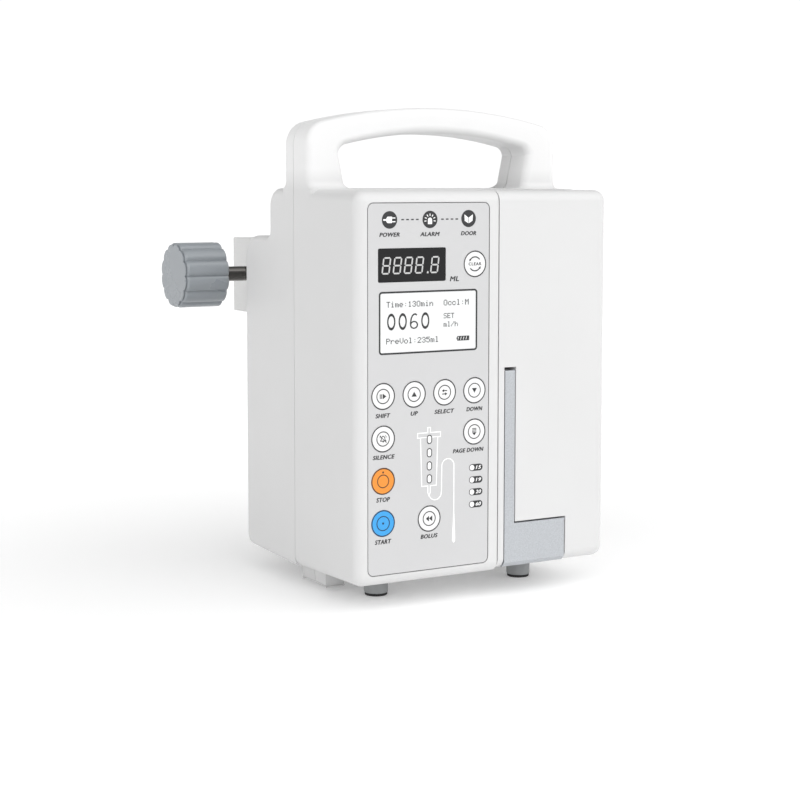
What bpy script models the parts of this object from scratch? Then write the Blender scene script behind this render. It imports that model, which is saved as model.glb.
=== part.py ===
"""Volumetric infusion pump with a carrying handle, a hinged pump door and a rear pole clamp.

Run with: blender --background --python part.py

Lengths below are in millimetres and turned into metres by MM. The case frame has X to the
right, Y to the back and Z up: X = 0 is the middle of the case, Y = 0 its front face and
Z = 0 the surface that the feet stand on. Everything hangs on one empty, which moves that
frame so that the world's origin is at the bottom centre of the whole object.
"""
import math

import bmesh
import bpy
from mathutils import Matrix, Vector

MM = 0.001
OBJECT_NAME = "infusion_pump"
GAP = 0.3                      # left between two pieces that touch

# Case: two drafted shells that meet at PART_Y
PART_Y = 54.0
REAR_Y = 106.0
STEP_Y = 80.0                  # the upper, full-height part of the rear shell ends here
FRONT_HALF, PART_HALF, REAR_HALF = 62.1, 63.0, 62.0
FRONT_LOW, PART_LOW, REAR_LOW = 11.0, 10.2, 11.2
FRONT_TOP, PART_TOP = 172.4, 173.2
STEP_TOP = 152.2
EDGE_R = 4.8
EDGE_STEPS = 3
WALL = 2.5

# Carrying handle, an arch split at the same plane as the case
HANDLE_FRONT, HANDLE_REAR = 40.5, 64.2
HANDLE_APEX, HANDLE_ARC_R = 207.9, 245.0
OPENING_APEX, OPENING_ARC_R = 196.8, 195.0
OPENING_HALF_LOW, OPENING_HALF_HIGH = 45.3, 47.7
HANDLE_CORNER_R, OPENING_CORNER_R = 10.0, 5.0
HANDLE_EDGE_R = 3.5
HANDLE_FOOT_R = 3.5            # fillet where the legs meet the case

# Front panel
PANEL_LEFT, PANEL_RIGHT, PANEL_LOW, PANEL_TOP = -57.1, 1.0, 15.5, 167.5
PANEL_R = 2.7
PANEL_DEPTH = 0.6
KEY_R, KEY_TRAVEL = 5.5, 0.6
KEY_X0, KEY_PITCH_X = -49.9, 14.6
KEY_Z0, KEY_PITCH_Z = 89.2, 17.4
KEYS = {
    "key_shift": (KEY_X0, KEY_Z0),
    "key_up": (KEY_X0 + KEY_PITCH_X, KEY_Z0),
    "key_select": (KEY_X0 + 2 * KEY_PITCH_X, KEY_Z0),
    "key_down": (KEY_X0 + 3 * KEY_PITCH_X, KEY_Z0),
    "key_silence": (KEY_X0, KEY_Z0 - KEY_PITCH_Z),
    "key_page_down": (KEY_X0 + 3 * KEY_PITCH_X, KEY_Z0 - KEY_PITCH_Z),
    "key_stop": (KEY_X0, KEY_Z0 - 2 * KEY_PITCH_Z),
    "key_start": (KEY_X0, KEY_Z0 - 3 * KEY_PITCH_Z),
    "key_bolus": (-28.0, KEY_Z0 - 3 * KEY_PITCH_Z),
    "key_clear": (KEY_X0 + 3 * KEY_PITCH_X, 142.0),
}
LED_LEFT, LED_RIGHT, LED_LOW, LED_TOP = -52.2, -20.3, 135.4, 149.1
LCD_LEFT, LCD_RIGHT, LCD_LOW, LCD_TOP = -51.3, -5.4, 106.6, 131.1

# Door and the bay behind it
DOOR_LEFT, DOOR_LOW, DOOR_REAR = 6.05, 12.0, 21.5
CASE_EDGE_X = 5.55             # the control side of the front shell ends here
BAY_FRONT, BAY_BACK = 22.5, 25.0
HINGE_X, HINGE_Y = FRONT_HALF - EDGE_R, DOOR_REAR - EDGE_R
HINGE_Z = (40.0, 146.0)
KNUCKLE_R, KNUCKLE_HALF, LUG_HALF = 4.2, 12.0, 4.0
PIN_R = 1.5
INNER_FRONT, INNER_REAR = 15.0, 17.0
TUBE_X = 34.0

# Latch lever in the door
LEVER_LEFT, LEVER_RIGHT, LEVER_TOP = 9.4, 14.4, 96.6
FOOT_RIGHT, FOOT_TOP = 40.4, 30.9
LEVER_FACE, LEVER_BACK, FOOT_BACK = 0.2, 6.0, 8.0
LEVER_Z, LEVER_Y = 91.0, 3.5   # its pivot, along X
LATCH_SLOTS = ((47.0, 65.0), (115.0, 133.0))

# Pump mechanism
CAM_Y, CAM_R, CAM_THROW, SHAFT_R = 42.0, 8.0, 0.75, 4.0
FINGERS, FINGER_PITCH, FINGER_LOW = 6, 8.0, 72.0
FINGER_TIP = 22.3

# Pole clamp
CLAMP_LEFT, CLAMP_RIGHT, CLAMP_LOW, CLAMP_TOP = -36.4, 30.0, 113.0, 149.0
CLAMP_END = 174.0
SCREW_Y, SCREW_Z, SCREW_R = 138.0, 133.0, 3.45
KNOB_LEFT, KNOB_RIGHT, KNOB_R, KNOB_LOBES = -83.3, -61.6, 15.2, 12

# Feet, screws, base blocks
FEET = {
    "foot_front_left": (-36.5, 30.0),
    "foot_front_right": (36.5, 30.0),
    "foot_rear_left": (-36.5, 88.0),
    "foot_rear_right": (36.5, 88.0),
}
FOOT_R = 5.2
BOSS_X, BOSS_Z = 55.0, (24.0, 140.0)
BOSS_R = 4.2
SKID_OUTER, SKID_INNER, SKID_LOW = 54.5, 45.5, 2.6
SKID_FRONT, SKID_REAR = 42.3, 66.0

ORIGIN = Vector(((KNOB_LEFT + PART_HALF) / 2, CLAMP_END / 2, 0.0)) * MM


# ---------------------------------------------------------------- scene and materials

def clear_scene():
    for obj in list(bpy.data.objects):
        bpy.data.objects.remove(obj, do_unlink=True)


def make_collection(name):
    collection = bpy.data.collections.new(name)
    bpy.context.scene.collection.children.link(collection)
    return collection


def make_material(name, color, roughness, metallic=0.0):
    material = bpy.data.materials.new(name)
    material.use_nodes = True
    shader = material.node_tree.nodes["Principled BSDF"]
    shader.inputs["Base Color"].default_value = (*color, 1.0)
    shader.inputs["Roughness"].default_value = roughness
    shader.inputs["Metallic"].default_value = metallic
    return material


clear_scene()
PARTS = make_collection(OBJECT_NAME)
CUTTERS = make_collection("cutters")
ROOT = bpy.data.objects.new(OBJECT_NAME + "_root", None)
ROOT.location = -ORIGIN
PARTS.objects.link(ROOT)

MATERIALS = {
    "case": make_material("case", (0.82, 0.82, 0.81), 0.42),
    "panel": make_material("panel", (0.72, 0.73, 0.74), 0.4),
    "key_white": make_material("key_white", (0.9, 0.9, 0.9), 0.4),
    "key_orange": make_material("key_orange", (0.95, 0.35, 0.04), 0.4),
    "key_blue": make_material("key_blue", (0.05, 0.38, 0.9), 0.4),
    "smoked": make_material("smoked", (0.02, 0.02, 0.02), 0.12),
    "screen": make_material("screen", (0.86, 0.9, 0.88), 0.2),
    "lever_silver": make_material("lever_silver", (0.56, 0.59, 0.62), 0.38, 0.5),
    "knob_grey": make_material("knob_grey", (0.3, 0.34, 0.38), 0.5),
    "clamp_grey": make_material("clamp_grey", (0.6, 0.61, 0.63), 0.5),
    "steel": make_material("steel", (0.45, 0.44, 0.43), 0.22, 1.0),
    "dark_plastic": make_material("dark_plastic", (0.05, 0.05, 0.055), 0.5),
    "board": make_material("board", (0.03, 0.18, 0.08), 0.5),
    "rubber": make_material("rubber", (0.12, 0.12, 0.12), 0.8),
    "aluminium": make_material("aluminium", (0.7, 0.71, 0.72), 0.35, 1.0),
}


# ---------------------------------------------------------------- modelling helpers

def add_object(name, mesh, material, at=(0.0, 0.0, 0.0)):
    """A mesh object in the case frame, at a place in millimetres."""
    obj = bpy.data.objects.new(name, mesh)
    obj.location = Vector(at) * MM
    obj.parent = ROOT
    if material is None:
        CUTTERS.objects.link(obj)
        obj.hide_render = True
        obj.display_type = "WIRE"
    else:
        PARTS.objects.link(obj)
        mesh.materials.append(MATERIALS[material])
    return obj


def finish_mesh(name, bm):
    bmesh.ops.recalc_face_normals(bm, faces=bm.faces)
    bmesh.ops.scale(bm, vec=(MM, MM, MM), verts=bm.verts)
    mesh = bpy.data.meshes.new(name)
    bm.to_mesh(mesh)
    bm.free()
    return mesh


def box_bm(low, high):
    """A bmesh box between two corners."""
    low, high = Vector(low), Vector(high)
    bm = bmesh.new()
    bmesh.ops.create_cube(bm, size=1.0)
    bmesh.ops.scale(bm, vec=high - low, verts=bm.verts)
    bmesh.ops.translate(bm, vec=(low + high) / 2, verts=bm.verts)
    return bm


def round_edges(bm, radius, steps, wanted):
    """Rounds the edges whose two ends both pass the test `wanted`."""
    edges = [e for e in bm.edges if wanted(*(v.co for v in e.verts))]
    bmesh.ops.bevel(bm, geom=edges, offset=radius, offset_type="OFFSET", segments=steps,
                    profile=0.5, affect="EDGES", clamp_overlap=True)


def any_edge(_a, _b):
    return True


def box(name, low, high, material, radius=0.0, steps=2, wanted=any_edge):
    """A box piece whose origin is its centre."""
    centre = (Vector(low) + Vector(high)) / 2
    bm = box_bm(Vector(low) - centre, Vector(high) - centre)
    if radius:
        round_edges(bm, radius, steps, wanted)
    return add_object(name, finish_mesh(name, bm), material, centre)


AXES = {
    "x": Matrix.Rotation(math.radians(90), 4, "Y"),
    "y": Matrix.Rotation(math.radians(-90), 4, "X"),
    "z": Matrix.Identity(4),
}


def cylinder_bm(radius, length, axis, sides, centre=(0.0, 0.0, 0.0), top_radius=None):
    bm = bmesh.new()
    bmesh.ops.create_cone(bm, cap_ends=True, segments=sides, radius1=radius,
                          radius2=radius if top_radius is None else top_radius, depth=length)
    bmesh.ops.transform(bm, matrix=AXES[axis], verts=bm.verts)
    bmesh.ops.translate(bm, vec=centre, verts=bm.verts)
    return bm


def cylinder(name, centre, radius, length, axis, material, sides=24, top_radius=None):
    bm = cylinder_bm(radius, length, axis, sides, top_radius=top_radius)
    return add_object(name, finish_mesh(name, bm), material, centre)


def merged(name, bms, material, at=(0.0, 0.0, 0.0)):
    """Several closed bodies in one mesh: used for cutters and for things to be joined."""
    whole = bmesh.new()
    for bm in bms:
        piece = bpy.data.meshes.new("scratch")
        bmesh.ops.recalc_face_normals(bm, faces=bm.faces)
        bm.to_mesh(piece)
        bm.free()
        whole.from_mesh(piece)
        bpy.data.meshes.remove(piece)
    return add_object(name, finish_mesh(name, whole), material, at)


def prism_bm(outline, axis, low, high):
    """An outline extruded along an axis. Its points are (x, z) for axis y and (x, y) for axis z."""
    place = {
        "y": lambda p, d: (p[0], d, p[1]),
        "z": lambda p, d: (p[0], p[1], d),
        "x": lambda p, d: (d, p[0], p[1]),
    }[axis]
    bm = bmesh.new()
    face = bm.faces.new([bm.verts.new(place(p, low)) for p in outline])
    made = bmesh.ops.extrude_face_region(bm, geom=[face])
    moved = [v for v in made["geom"] if isinstance(v, bmesh.types.BMVert)]
    shift = Vector(place((0.0, 0.0), high)) - Vector(place((0.0, 0.0), low))
    bmesh.ops.translate(bm, vec=shift, verts=moved)
    return bm


def rounded_outline(left, right, low, top, radius, steps=4):
    points = []
    corners = ((right, top, 0), (left, top, 90), (left, low, 180), (right, low, 270))
    for x, z, start in corners:
        cx = x - radius if x == right else x + radius
        cz = z - radius if z == top else z + radius
        for i in range(steps + 1):
            a = math.radians(start + 90 * i / steps)
            points.append((cx + radius * math.cos(a), cz + radius * math.sin(a)))
    return points


def boolean(target, operation, *others):
    for other in others:
        modifier = target.modifiers.new(operation.lower() + "_" + other.name, "BOOLEAN")
        modifier.operation = operation
        modifier.object = other
        modifier.use_self = True


def cut(target, *cutters):
    boolean(target, "DIFFERENCE", *cutters)


def join(target, *adders):
    boolean(target, "UNION", *adders)


def pivot(name, at, parent=None):
    """An empty on a joint's axis, which the moving pieces hang on."""
    empty = bpy.data.objects.new(name, None)
    empty.parent = parent or ROOT
    offset = Vector(at) * MM
    if parent:
        offset = offset - case_place(parent)
    empty.location = offset
    PARTS.objects.link(empty)
    return empty


def case_place(obj):
    """Where an object is in the case frame, in metres."""
    place = Vector((0.0, 0.0, 0.0))
    while obj is not None and obj is not ROOT:
        place += obj.location
        obj = obj.parent
    return place


def hang(parent, *pieces):
    for piece in pieces:
        piece.location = case_place(piece) - case_place(parent)
        piece.parent = parent


# ---------------------------------------------------------------- case shells

def drafted_block(name, material, y0, y1, half, low, top):
    """A box along Y whose half width, bottom and top change from y0 to y1."""
    bm = box_bm((-1, y0, -1), (1, y1, 1))
    for v in bm.verts:
        end = 0 if v.co.y < (y0 + y1) / 2 else 1
        v.co.x = math.copysign(half[end], v.co.x)
        v.co.z = top[end] if v.co.z > 0 else low[end]
    round_edges(bm, EDGE_R, EDGE_STEPS, lambda a, b: min(a.y, b.y) < y1 - 1)
    return add_object(name, finish_mesh(name, bm), material)


def arc(cx, cz, radius, start, end, steps):
    """Points of an arc, with angles in degrees."""
    turn = [math.radians(start + (end - start) * i / steps) for i in range(steps + 1)]
    return [(cx + radius * math.cos(a), cz + radius * math.sin(a)) for a in turn]


def corner_to_arc(side, apex, arc_r, corner_r):
    """Centre of a corner that joins a vertical side to a crown, and the crown's half angle there."""
    crown_z = apex - arc_r
    reach = side - corner_r
    angle = math.asin(reach / (arc_r - corner_r))
    return reach, crown_z + (arc_r - corner_r) * math.cos(angle), math.degrees(angle)


def arch_paths(corner_steps, crown_steps, foot_steps):
    """Outer and inner points of the arch's right half, from its foot up to the middle, in pairs."""
    side = PART_HALF
    ox, oz, oa = corner_to_arc(side, HANDLE_APEX, HANDLE_ARC_R, HANDLE_CORNER_R)
    ix, iz, ia = corner_to_arc(OPENING_HALF_HIGH, OPENING_APEX, OPENING_ARC_R, OPENING_CORNER_R)
    crown_z, opening_z = HANDLE_APEX - HANDLE_ARC_R, OPENING_APEX - OPENING_ARC_R
    outer, inner, flare = [], [], []
    inside = OPENING_HALF_LOW - HANDLE_FOOT_R
    for z in (PART_TOP - 6.0, PART_TOP - 0.8):
        outer.append((side, z))
        inner.append((inside, z))
        flare.append(HANDLE_FOOT_R)
    for i in range(1, foot_steps + 1):
        a = math.radians(90 * i / foot_steps)
        rise = HANDLE_FOOT_R * (1 - math.cos(a))
        grow = HANDLE_FOOT_R * (1 - math.sin(a))
        outer.append((side, PART_TOP - 0.8 + rise))
        inner.append((OPENING_HALF_LOW - grow, PART_TOP - 0.8 + rise))
        flare.append(grow)
    outer += arc(ox, oz, HANDLE_CORNER_R, 0, 90 - oa, corner_steps)
    inner += arc(ix, iz, OPENING_CORNER_R, 8, 90 - ia, corner_steps)
    for i in range(1, crown_steps + 1):
        share = 1 - i / crown_steps
        for path, z, radius, half in ((outer, crown_z, HANDLE_ARC_R, oa),
                                      (inner, opening_z, OPENING_ARC_R, ia)):
            a = math.radians(90 - half * share)
            path.append((radius * math.cos(a), z + radius * math.sin(a)))
    flare += [0.0] * (len(outer) - len(flare))
    return outer, inner, flare


def handle_half(name, material, joint_y, face_y, edge_r, wall=0.0,
                corner_steps=4, crown_steps=6, foot_steps=2, edge_steps=2):
    """Half of the arch, from its flat joint to its rounded face. A wall above 0 makes its hollow."""
    outer, inner, flare = arch_paths(corner_steps, crown_steps, foot_steps)
    count = len(outer)
    outer += [(-x, z) for x, z in reversed(outer[:-1])]
    inner += [(-x, z) for x, z in reversed(inner[:-1])]
    flare += list(reversed(flare[:count - 1]))
    toward = 1 if face_y > joint_y else -1
    bm = bmesh.new()
    rings = []
    for (ox, oz), (ix, iz), grow in zip(outer, inner, flare):
        start, end = Vector((ox, 0, oz)), Vector((ix, 0, iz))
        inward = (end - start).normalized()
        length = (end - start).length
        face = face_y + toward * (grow - wall)
        near = [(wall, joint_y)]
        for i in range(edge_steps + 1):
            a = math.radians(90 * i / edge_steps)
            near.append((wall + edge_r * (1 - math.cos(a)),
                         face - toward * edge_r * (1 - math.sin(a))))
        section = near + [(length - t, y) for t, y in reversed(near)]
        rings.append([bm.verts.new(start + inward * t + Vector((0, y, 0))) for t, y in section])
    for a, b in zip(rings, rings[1:]):
        for i in range(len(a)):
            j = (i + 1) % len(a)
            bm.faces.new((a[i], a[j], b[j], b[i]))
    bm.faces.new(rings[0])
    bm.faces.new(rings[-1])
    if wall:
        bmesh.ops.translate(bm, vec=(0, -toward * 2.0, 0),
                            verts=[v for v in bm.verts if abs(v.co.y - joint_y) < 0.01])
    return add_object(name, finish_mesh(name, bm), material)


def bosses_bm(y0, y1, radius, sides=16):
    return [cylinder_bm(radius, y1 - y0, "y", sides, (sign * BOSS_X, (y0 + y1) / 2, z))
            for sign in (-1, 1) for z in BOSS_Z]


def boss_ribs_bm(y0, y1):
    """A rib from each boss to the side wall beside it."""
    ribs = []
    for sign in (-1, 1):
        inner, outer = sorted((sign * (BOSS_X + 3.0), sign * (REAR_HALF - 1.0)))
        ribs += [box_bm((inner, y0, z - 1.2), (outer, y1, z + 1.2)) for z in BOSS_Z]
    return ribs


def skid_bm(sign, y0, y1, tapered):
    """A base block, which narrows downwards. Its tapered end is the one at that Y."""
    bm = box_bm((SKID_INNER, y0, SKID_LOW), (SKID_OUTER, y1, PART_LOW + 1.5))
    for v in bm.verts:
        if v.co.z < PART_LOW:
            if v.co.x > 50:
                v.co.x -= 1.5
            if abs(v.co.y - tapered) < 0.1:
                v.co.y += 1.0 if tapered < PART_Y else -1.0
        v.co.x *= sign
    return bm


def front_housing():
    body = drafted_block("front_housing", "case", 0.0, PART_Y, (FRONT_HALF, PART_HALF),
                         (FRONT_LOW, PART_LOW), (FRONT_TOP, PART_TOP))
    join(body, handle_half("join_handle_front", None, PART_Y, HANDLE_FRONT, HANDLE_EDGE_R),
         merged("join_skids_front", [skid_bm(s, SKID_FRONT, PART_Y, SKID_FRONT) for s in (-1, 1)], None))
    cut(body, handle_half("cut_handle_front", None, PART_Y, HANDLE_FRONT, 1.0, wall=WALL, edge_steps=1))
    behind = box_bm((-59.9, BAY_BACK, 13.2), (59.9, PART_Y + 2, 170.3))
    control = box_bm((-59.6, WALL, 13.5), (CASE_EDGE_X - 2.2, BAY_BACK + 2, 170.0))
    door_room = box_bm((CASE_EDGE_X, -5, 0), (70, BAY_FRONT, 180))
    cut(body, merged("cut_behind_bay", [behind], None), merged("cut_control", [control], None),
        merged("cut_door_room", [door_room], None))
    edge = box_bm((FRONT_HALF - 4.5, BAY_FRONT - 5, 0), (70, BAY_FRONT + 4.5, 180))
    rim = cylinder_bm(4.5, 200, "z", 24, (PART_HALF - 0.6 - 4.5, BAY_FRONT + 4.5, 90))
    edge_cutter = merged("cut_door_edge", [edge], None)
    cut(edge_cutter, merged("keep_door_edge", [rim], None))
    cut(body, edge_cutter)
    lugs = []
    for z in HINGE_Z:
        lugs.append(cylinder_bm(KNUCKLE_R, 2 * LUG_HALF, "z", 16, (HINGE_X, HINGE_Y, z)))
    arms = [box_bm((HINGE_X - 3.2, HINGE_Y, z - LUG_HALF + 0.01), (HINGE_X + 3.0, 24.6, z + LUG_HALF - 0.01))
            for z in HINGE_Z]
    join(body, merged("join_lugs", lugs, None), merged("join_arms", arms, None),
         merged("join_bosses_front", bosses_bm(32.0, PART_Y, BOSS_R), None),
         merged("join_ribs_front", boss_ribs_bm(31.0, PART_Y - 0.5), None))
    recess = prism_bm(rounded_outline(PANEL_LEFT - 0.2, PANEL_RIGHT + 0.2, PANEL_LOW - 0.2,
                                      PANEL_TOP + 0.2, PANEL_R), "y", -2.0, PANEL_DEPTH)
    cut(body, merged("cut_panel_recess", [recess], None),
        merged("cut_front_details", front_openings(), None))
    return body


def front_openings():
    """Windows for the displays, holes for the keys and hinge pins, and slots in the bay's wall."""
    found = [box_bm((LED_LEFT - 0.3, -1.0, LED_LOW - 0.3), (LED_RIGHT + 0.3, 3.5, LED_TOP + 0.3)),
             box_bm((LCD_LEFT - 0.3, -1.0, LCD_LOW - 0.3), (LCD_RIGHT + 0.3, 3.4, LCD_TOP + 0.3))]
    for x, z in KEYS.values():
        found.append(cylinder_bm(KEY_R + 0.3, 4.6, "y", 20, (x, 1.3, z)))
    for z in HINGE_Z:
        found.append(cylinder_bm(PIN_R + 0.3, 12, "z", 12, (HINGE_X, HINGE_Y, z)))
    low, high = finger_span()
    found.append(box_bm((TUBE_X - 3.6, 20, low - 1.0), (TUBE_X + 3.6, 28, high + 1.0)))
    for low, high in LATCH_SLOTS:
        found.append(box_bm((9.9, 20, low), (14.1, 28, high)))
    found += bosses_bm(36.0, PART_Y + 2, 1.8, 12)
    return found


def side_profile(inset=0.0):
    """The rear shell from the side, as (y, z), from its lower joint round the back to its top."""
    y0, back, step = PART_Y, REAR_Y - inset, STEP_Y - inset
    low0, low1 = PART_LOW + inset, REAR_LOW + inset
    top, shelf = PART_TOP - inset, STEP_TOP - inset
    low_r, shelf_r, top_r, inner_r = 5.5 - inset, 10.0 - inset, 8.0 - inset, 3.0 + inset
    points = [(y0, low0)]
    points += arc(back - low_r, low1 + low_r, low_r, -90, 0, 3)
    points += arc(back - shelf_r, shelf - shelf_r, shelf_r, 0, 90, 4)
    points += arc(step + inner_r, shelf + inner_r, inner_r, 270, 180, 2)
    points += arc(step - top_r, top - top_r, top_r, 0, 90, 4)
    points.append((y0, top))
    return points


def rear_block(name, inset=0.0, edge_r=EDGE_R, start=None):
    half = PART_HALF - inset
    bm = prism_bm(side_profile(inset), "x", -half, half)
    if edge_r:
        round_edges(bm, edge_r, EDGE_STEPS,
                    lambda a, b: abs(a.x - b.x) < 0.01 and max(a.y, b.y) > PART_Y + 0.01)
    for v in bm.verts:
        v.co.x *= 1 - (PART_HALF - REAR_HALF) / PART_HALF * (v.co.y - PART_Y) / (REAR_Y - PART_Y)
        if start is not None and v.co.y < PART_Y + 0.01:
            v.co.y = start
    return bm


def rear_housing():
    body = add_object("rear_housing", finish_mesh("rear_housing", rear_block("rear_housing")), "case")
    join(body, handle_half("join_handle_rear", None, PART_Y, HANDLE_REAR, HANDLE_EDGE_R),
         merged("join_skids_rear", [skid_bm(s, PART_Y, SKID_REAR, SKID_REAR) for s in (-1, 1)], None))
    cut(body, handle_half("cut_handle_rear", None, PART_Y, HANDLE_REAR, 1.0, wall=WALL, edge_steps=1),
        merged("cut_rear_hollow", [rear_block("hollow", inset=WALL, edge_r=0.0, start=PART_Y - 2)], None))
    join(body, merged("join_bosses_rear", bosses_bm(PART_Y + 1.0, REAR_Y - 1.2, BOSS_R), None),
         merged("join_ribs_rear", boss_ribs_bm(PART_Y + 1.5, REAR_Y - 1.4), None))
    seam = box_bm((-80, PART_Y - 5, 0), (80, PART_Y + GAP, 230))
    openings = bosses_bm(PART_Y - 1, REAR_Y + 3, 1.8, 12) + [seam]
    for i in range(5):
        z = 52.0 + 4.0 * i
        openings.append(box_bm((26, REAR_Y - 6, z), (44, REAR_Y + 3, z + 1.8)))
    openings.append(box_bm((-43.8, REAR_Y - 6, 25.8), (-16.2, REAR_Y + 3, 46.2)))
    cut(body, merged("cut_screw_heads", bosses_bm(REAR_Y - 8, REAR_Y + 3, 3.3), None),
        merged("cut_rear_openings", openings, None))
    return body


# ---------------------------------------------------------------- front panel

def keypad_overlay():
    bm = prism_bm(rounded_outline(PANEL_LEFT, PANEL_RIGHT, PANEL_LOW, PANEL_TOP, PANEL_R),
                  "y", 0.1, 0.4)
    sheet = add_object("keypad_overlay", finish_mesh("keypad_overlay", bm), "panel")
    holes = [box_bm((LED_LEFT - 0.2, -1, LED_LOW - 0.2), (LED_RIGHT + 0.2, 2, LED_TOP + 0.2)),
             box_bm((LCD_LEFT - 0.2, -1, LCD_LOW - 0.2), (LCD_RIGHT + 0.2, 2, LCD_TOP + 0.2))]
    for x, z in KEYS.values():
        holes.append(cylinder_bm(KEY_R + 0.25, 3, "y", 20, (x, 0.5, z)))
    cut(sheet, merged("cut_panel_holes", holes, None))


def keys():
    """Each key is a disc on a short stem, and slides straight in."""
    colours = {"key_stop": "key_orange", "key_start": "key_blue"}
    for name, (x, z) in KEYS.items():
        bm = cylinder_bm(KEY_R, 1.4, "y", 20, (0, 0.75, 0))
        disc = add_object(name, finish_mesh(name, bm), colours.get(name, "key_white"), (x, 0, z))
        join(disc, merged("join_stem_" + name, [cylinder_bm(2.0, 5.0, "y", 10, (0, 3.7, 0))],
                          None, (x, 0, z)))


def displays():
    box("led_window", (LED_LEFT, 0.12, LED_LOW), (LED_RIGHT, 1.3, LED_TOP), "smoked")
    box("led_module", (LED_LEFT + 0.8, 1.6, LED_LOW + 0.8), (LED_RIGHT - 0.8, 6.9, LED_TOP - 0.8),
        "dark_plastic")
    lcd = box("lcd_module", (LCD_LEFT - 2, 2.9, LCD_LOW - 2), (LCD_RIGHT + 0.8, 6.9, LCD_TOP + 1.5),
              "screen")
    join(lcd, merged("join_lcd_glass", [box_bm((LCD_LEFT, 0.2, LCD_LOW), (LCD_RIGHT, 4.0, LCD_TOP))],
                     None))
    box("front_board", (-57.5, 7.4, 18), (1.5, 9.0, 165), "board")


# ---------------------------------------------------------------- door, latch and platen

def lever_outline(clear, low):
    """The L of the lever, or of its pocket when it is grown by a clearance."""
    left, right = LEVER_LEFT - clear, LEVER_RIGHT + clear
    top = LEVER_TOP + (1.4 if clear else 0.0)
    return [(left, low), (FOOT_RIGHT + clear, low), (FOOT_RIGHT + clear, FOOT_TOP + clear),
            (right, FOOT_TOP + clear), (right, top), (left, top)]


def door_shell(hinge):
    bm = box_bm((DOOR_LEFT, 0, DOOR_LOW), (FRONT_HALF, DOOR_REAR, FRONT_TOP))

    def rounded(a, b):
        at_right = min(a.x, b.x) > 60
        at_front = max(a.y, b.y) < 1 and a.z == b.z
        return at_right or at_front

    round_edges(bm, EDGE_R, EDGE_STEPS, rounded)
    door = add_object("door_shell", finish_mesh("door_shell", bm), "case")
    hollow = box_bm((DOOR_LEFT + 2.2, 2.2, DOOR_LOW + 2.2),
                    (FRONT_HALF - 2.2, DOOR_REAR + 3, FRONT_TOP - 2.2))
    cut(door, merged("cut_door_hollow", [hollow], None))
    arm_block = box_bm((8.0, 1.0, 30.0), (16.4, 12.2, LEVER_TOP + 3.2))
    foot_block = box_bm((8.0, 1.0, DOOR_LOW + 0.05), (FOOT_RIGHT + 2.2, 14.2, FOOT_TOP + 2.2))
    knuckles = [cylinder_bm(KNUCKLE_R, 2 * KNUCKLE_HALF, "z", 16, (HINGE_X, HINGE_Y, z)) for z in HINGE_Z]
    ribs = [box_bm((HINGE_X, HINGE_Y - 2.5, z - KNUCKLE_HALF + 1),
                   (FRONT_HALF - 1, HINGE_Y + 2.5, z + KNUCKLE_HALF - 1)) for z in HINGE_Z]
    join(door, merged("join_pocket_arm", [arm_block], None), merged("join_pocket_foot", [foot_block], None),
         merged("join_knuckles", knuckles, None), merged("join_knuckle_ribs", ribs, None))
    arm = prism_bm([(LEVER_LEFT - 0.35, 26.0), (LEVER_RIGHT + 0.35, 26.0),
                    (LEVER_RIGHT + 0.35, LEVER_TOP + 1.4), (LEVER_LEFT - 0.35, LEVER_TOP + 1.4)],
                   "y", -3.0, 10.7)
    foot = box_bm((LEVER_LEFT - 0.35, -3.0, 5.0), (FOOT_RIGHT + 0.45, 12.7, FOOT_TOP + 0.45))
    cut(door, merged("cut_lever_arm", [arm], None), merged("cut_lever_foot", [foot], None))
    notches = []
    for z in HINGE_Z:
        notches.append(box_bm((HINGE_X - 4.9, 10.0, z - LUG_HALF - 0.4), (70, 30, z + LUG_HALF + 0.4)))
    for z in HINGE_Z:
        notches.append(cylinder_bm(PIN_R + 0.3, 21.0, "z", 12, (HINGE_X, HINGE_Y, z)))
    cut(door, merged("cut_notches", notches[:2], None), merged("cut_pin_holes", notches[2:], None))
    others = [box_bm((TUBE_X - 3, INNER_REAR - 0.3, 5), (TUBE_X + 3, 30, 180)),
              cylinder_bm(1.5, 7.7, "x", 10, (11.95, LEVER_Y, LEVER_Z)),
              box_bm((10.5, 9.0, 80.5), (13.4, 13.0, 94.0))]
    cut(door, merged("cut_door_details", others, None))
    hang(hinge, door)


def door_inner_plate(hinge):
    plate = box("door_inner_plate", (8.6, INNER_FRONT, 14.6), (51.8, INNER_REAR, 169.8), "clamp_grey")
    low, high = finger_span()
    slots = [box_bm((TUBE_X - 7.4, 10, low - 2.4), (TUBE_X + 7.4, 20, high + 2.4))]
    slots += [box_bm((10.0, 10, a - 0.5), (14.0, 20, b)) for a, b in LATCH_SLOTS]
    cut(plate, merged("cut_inner_plate", slots, None))
    hang(hinge, plate)


def hinge_pins(hinge):
    for name, z in zip(("hinge_pin_lower", "hinge_pin_upper"), HINGE_Z):
        hang(hinge, cylinder(name, (HINGE_X, HINGE_Y, z), PIN_R, 20.0, "z", "steel", 12))


def platen(hinge):
    """The plate that backs the tube. It floats on two springs in the door."""
    slide = pivot("platen_slide", (TUBE_X, 17.0, (finger_span()[0] + finger_span()[1]) / 2), hinge)
    low, high = finger_span()
    plate = box("platen", (TUBE_X - 7, 12.0, low - 2), (TUBE_X + 7, 20.6, high + 2), "aluminium")
    join(plate, merged("join_platen_flange",
                       [box_bm((TUBE_X - 9, 11.0, low - 4), (TUBE_X + 9, 14.6, high + 4))], None))
    hang(slide, plate)
    for name, z in (("platen_spring_lower", low + 10), ("platen_spring_upper", high - 10)):
        hang(slide, coil_spring(name, (TUBE_X, 0, z), 4.4, 10.3, 3.6, 0.4, 4))


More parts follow.
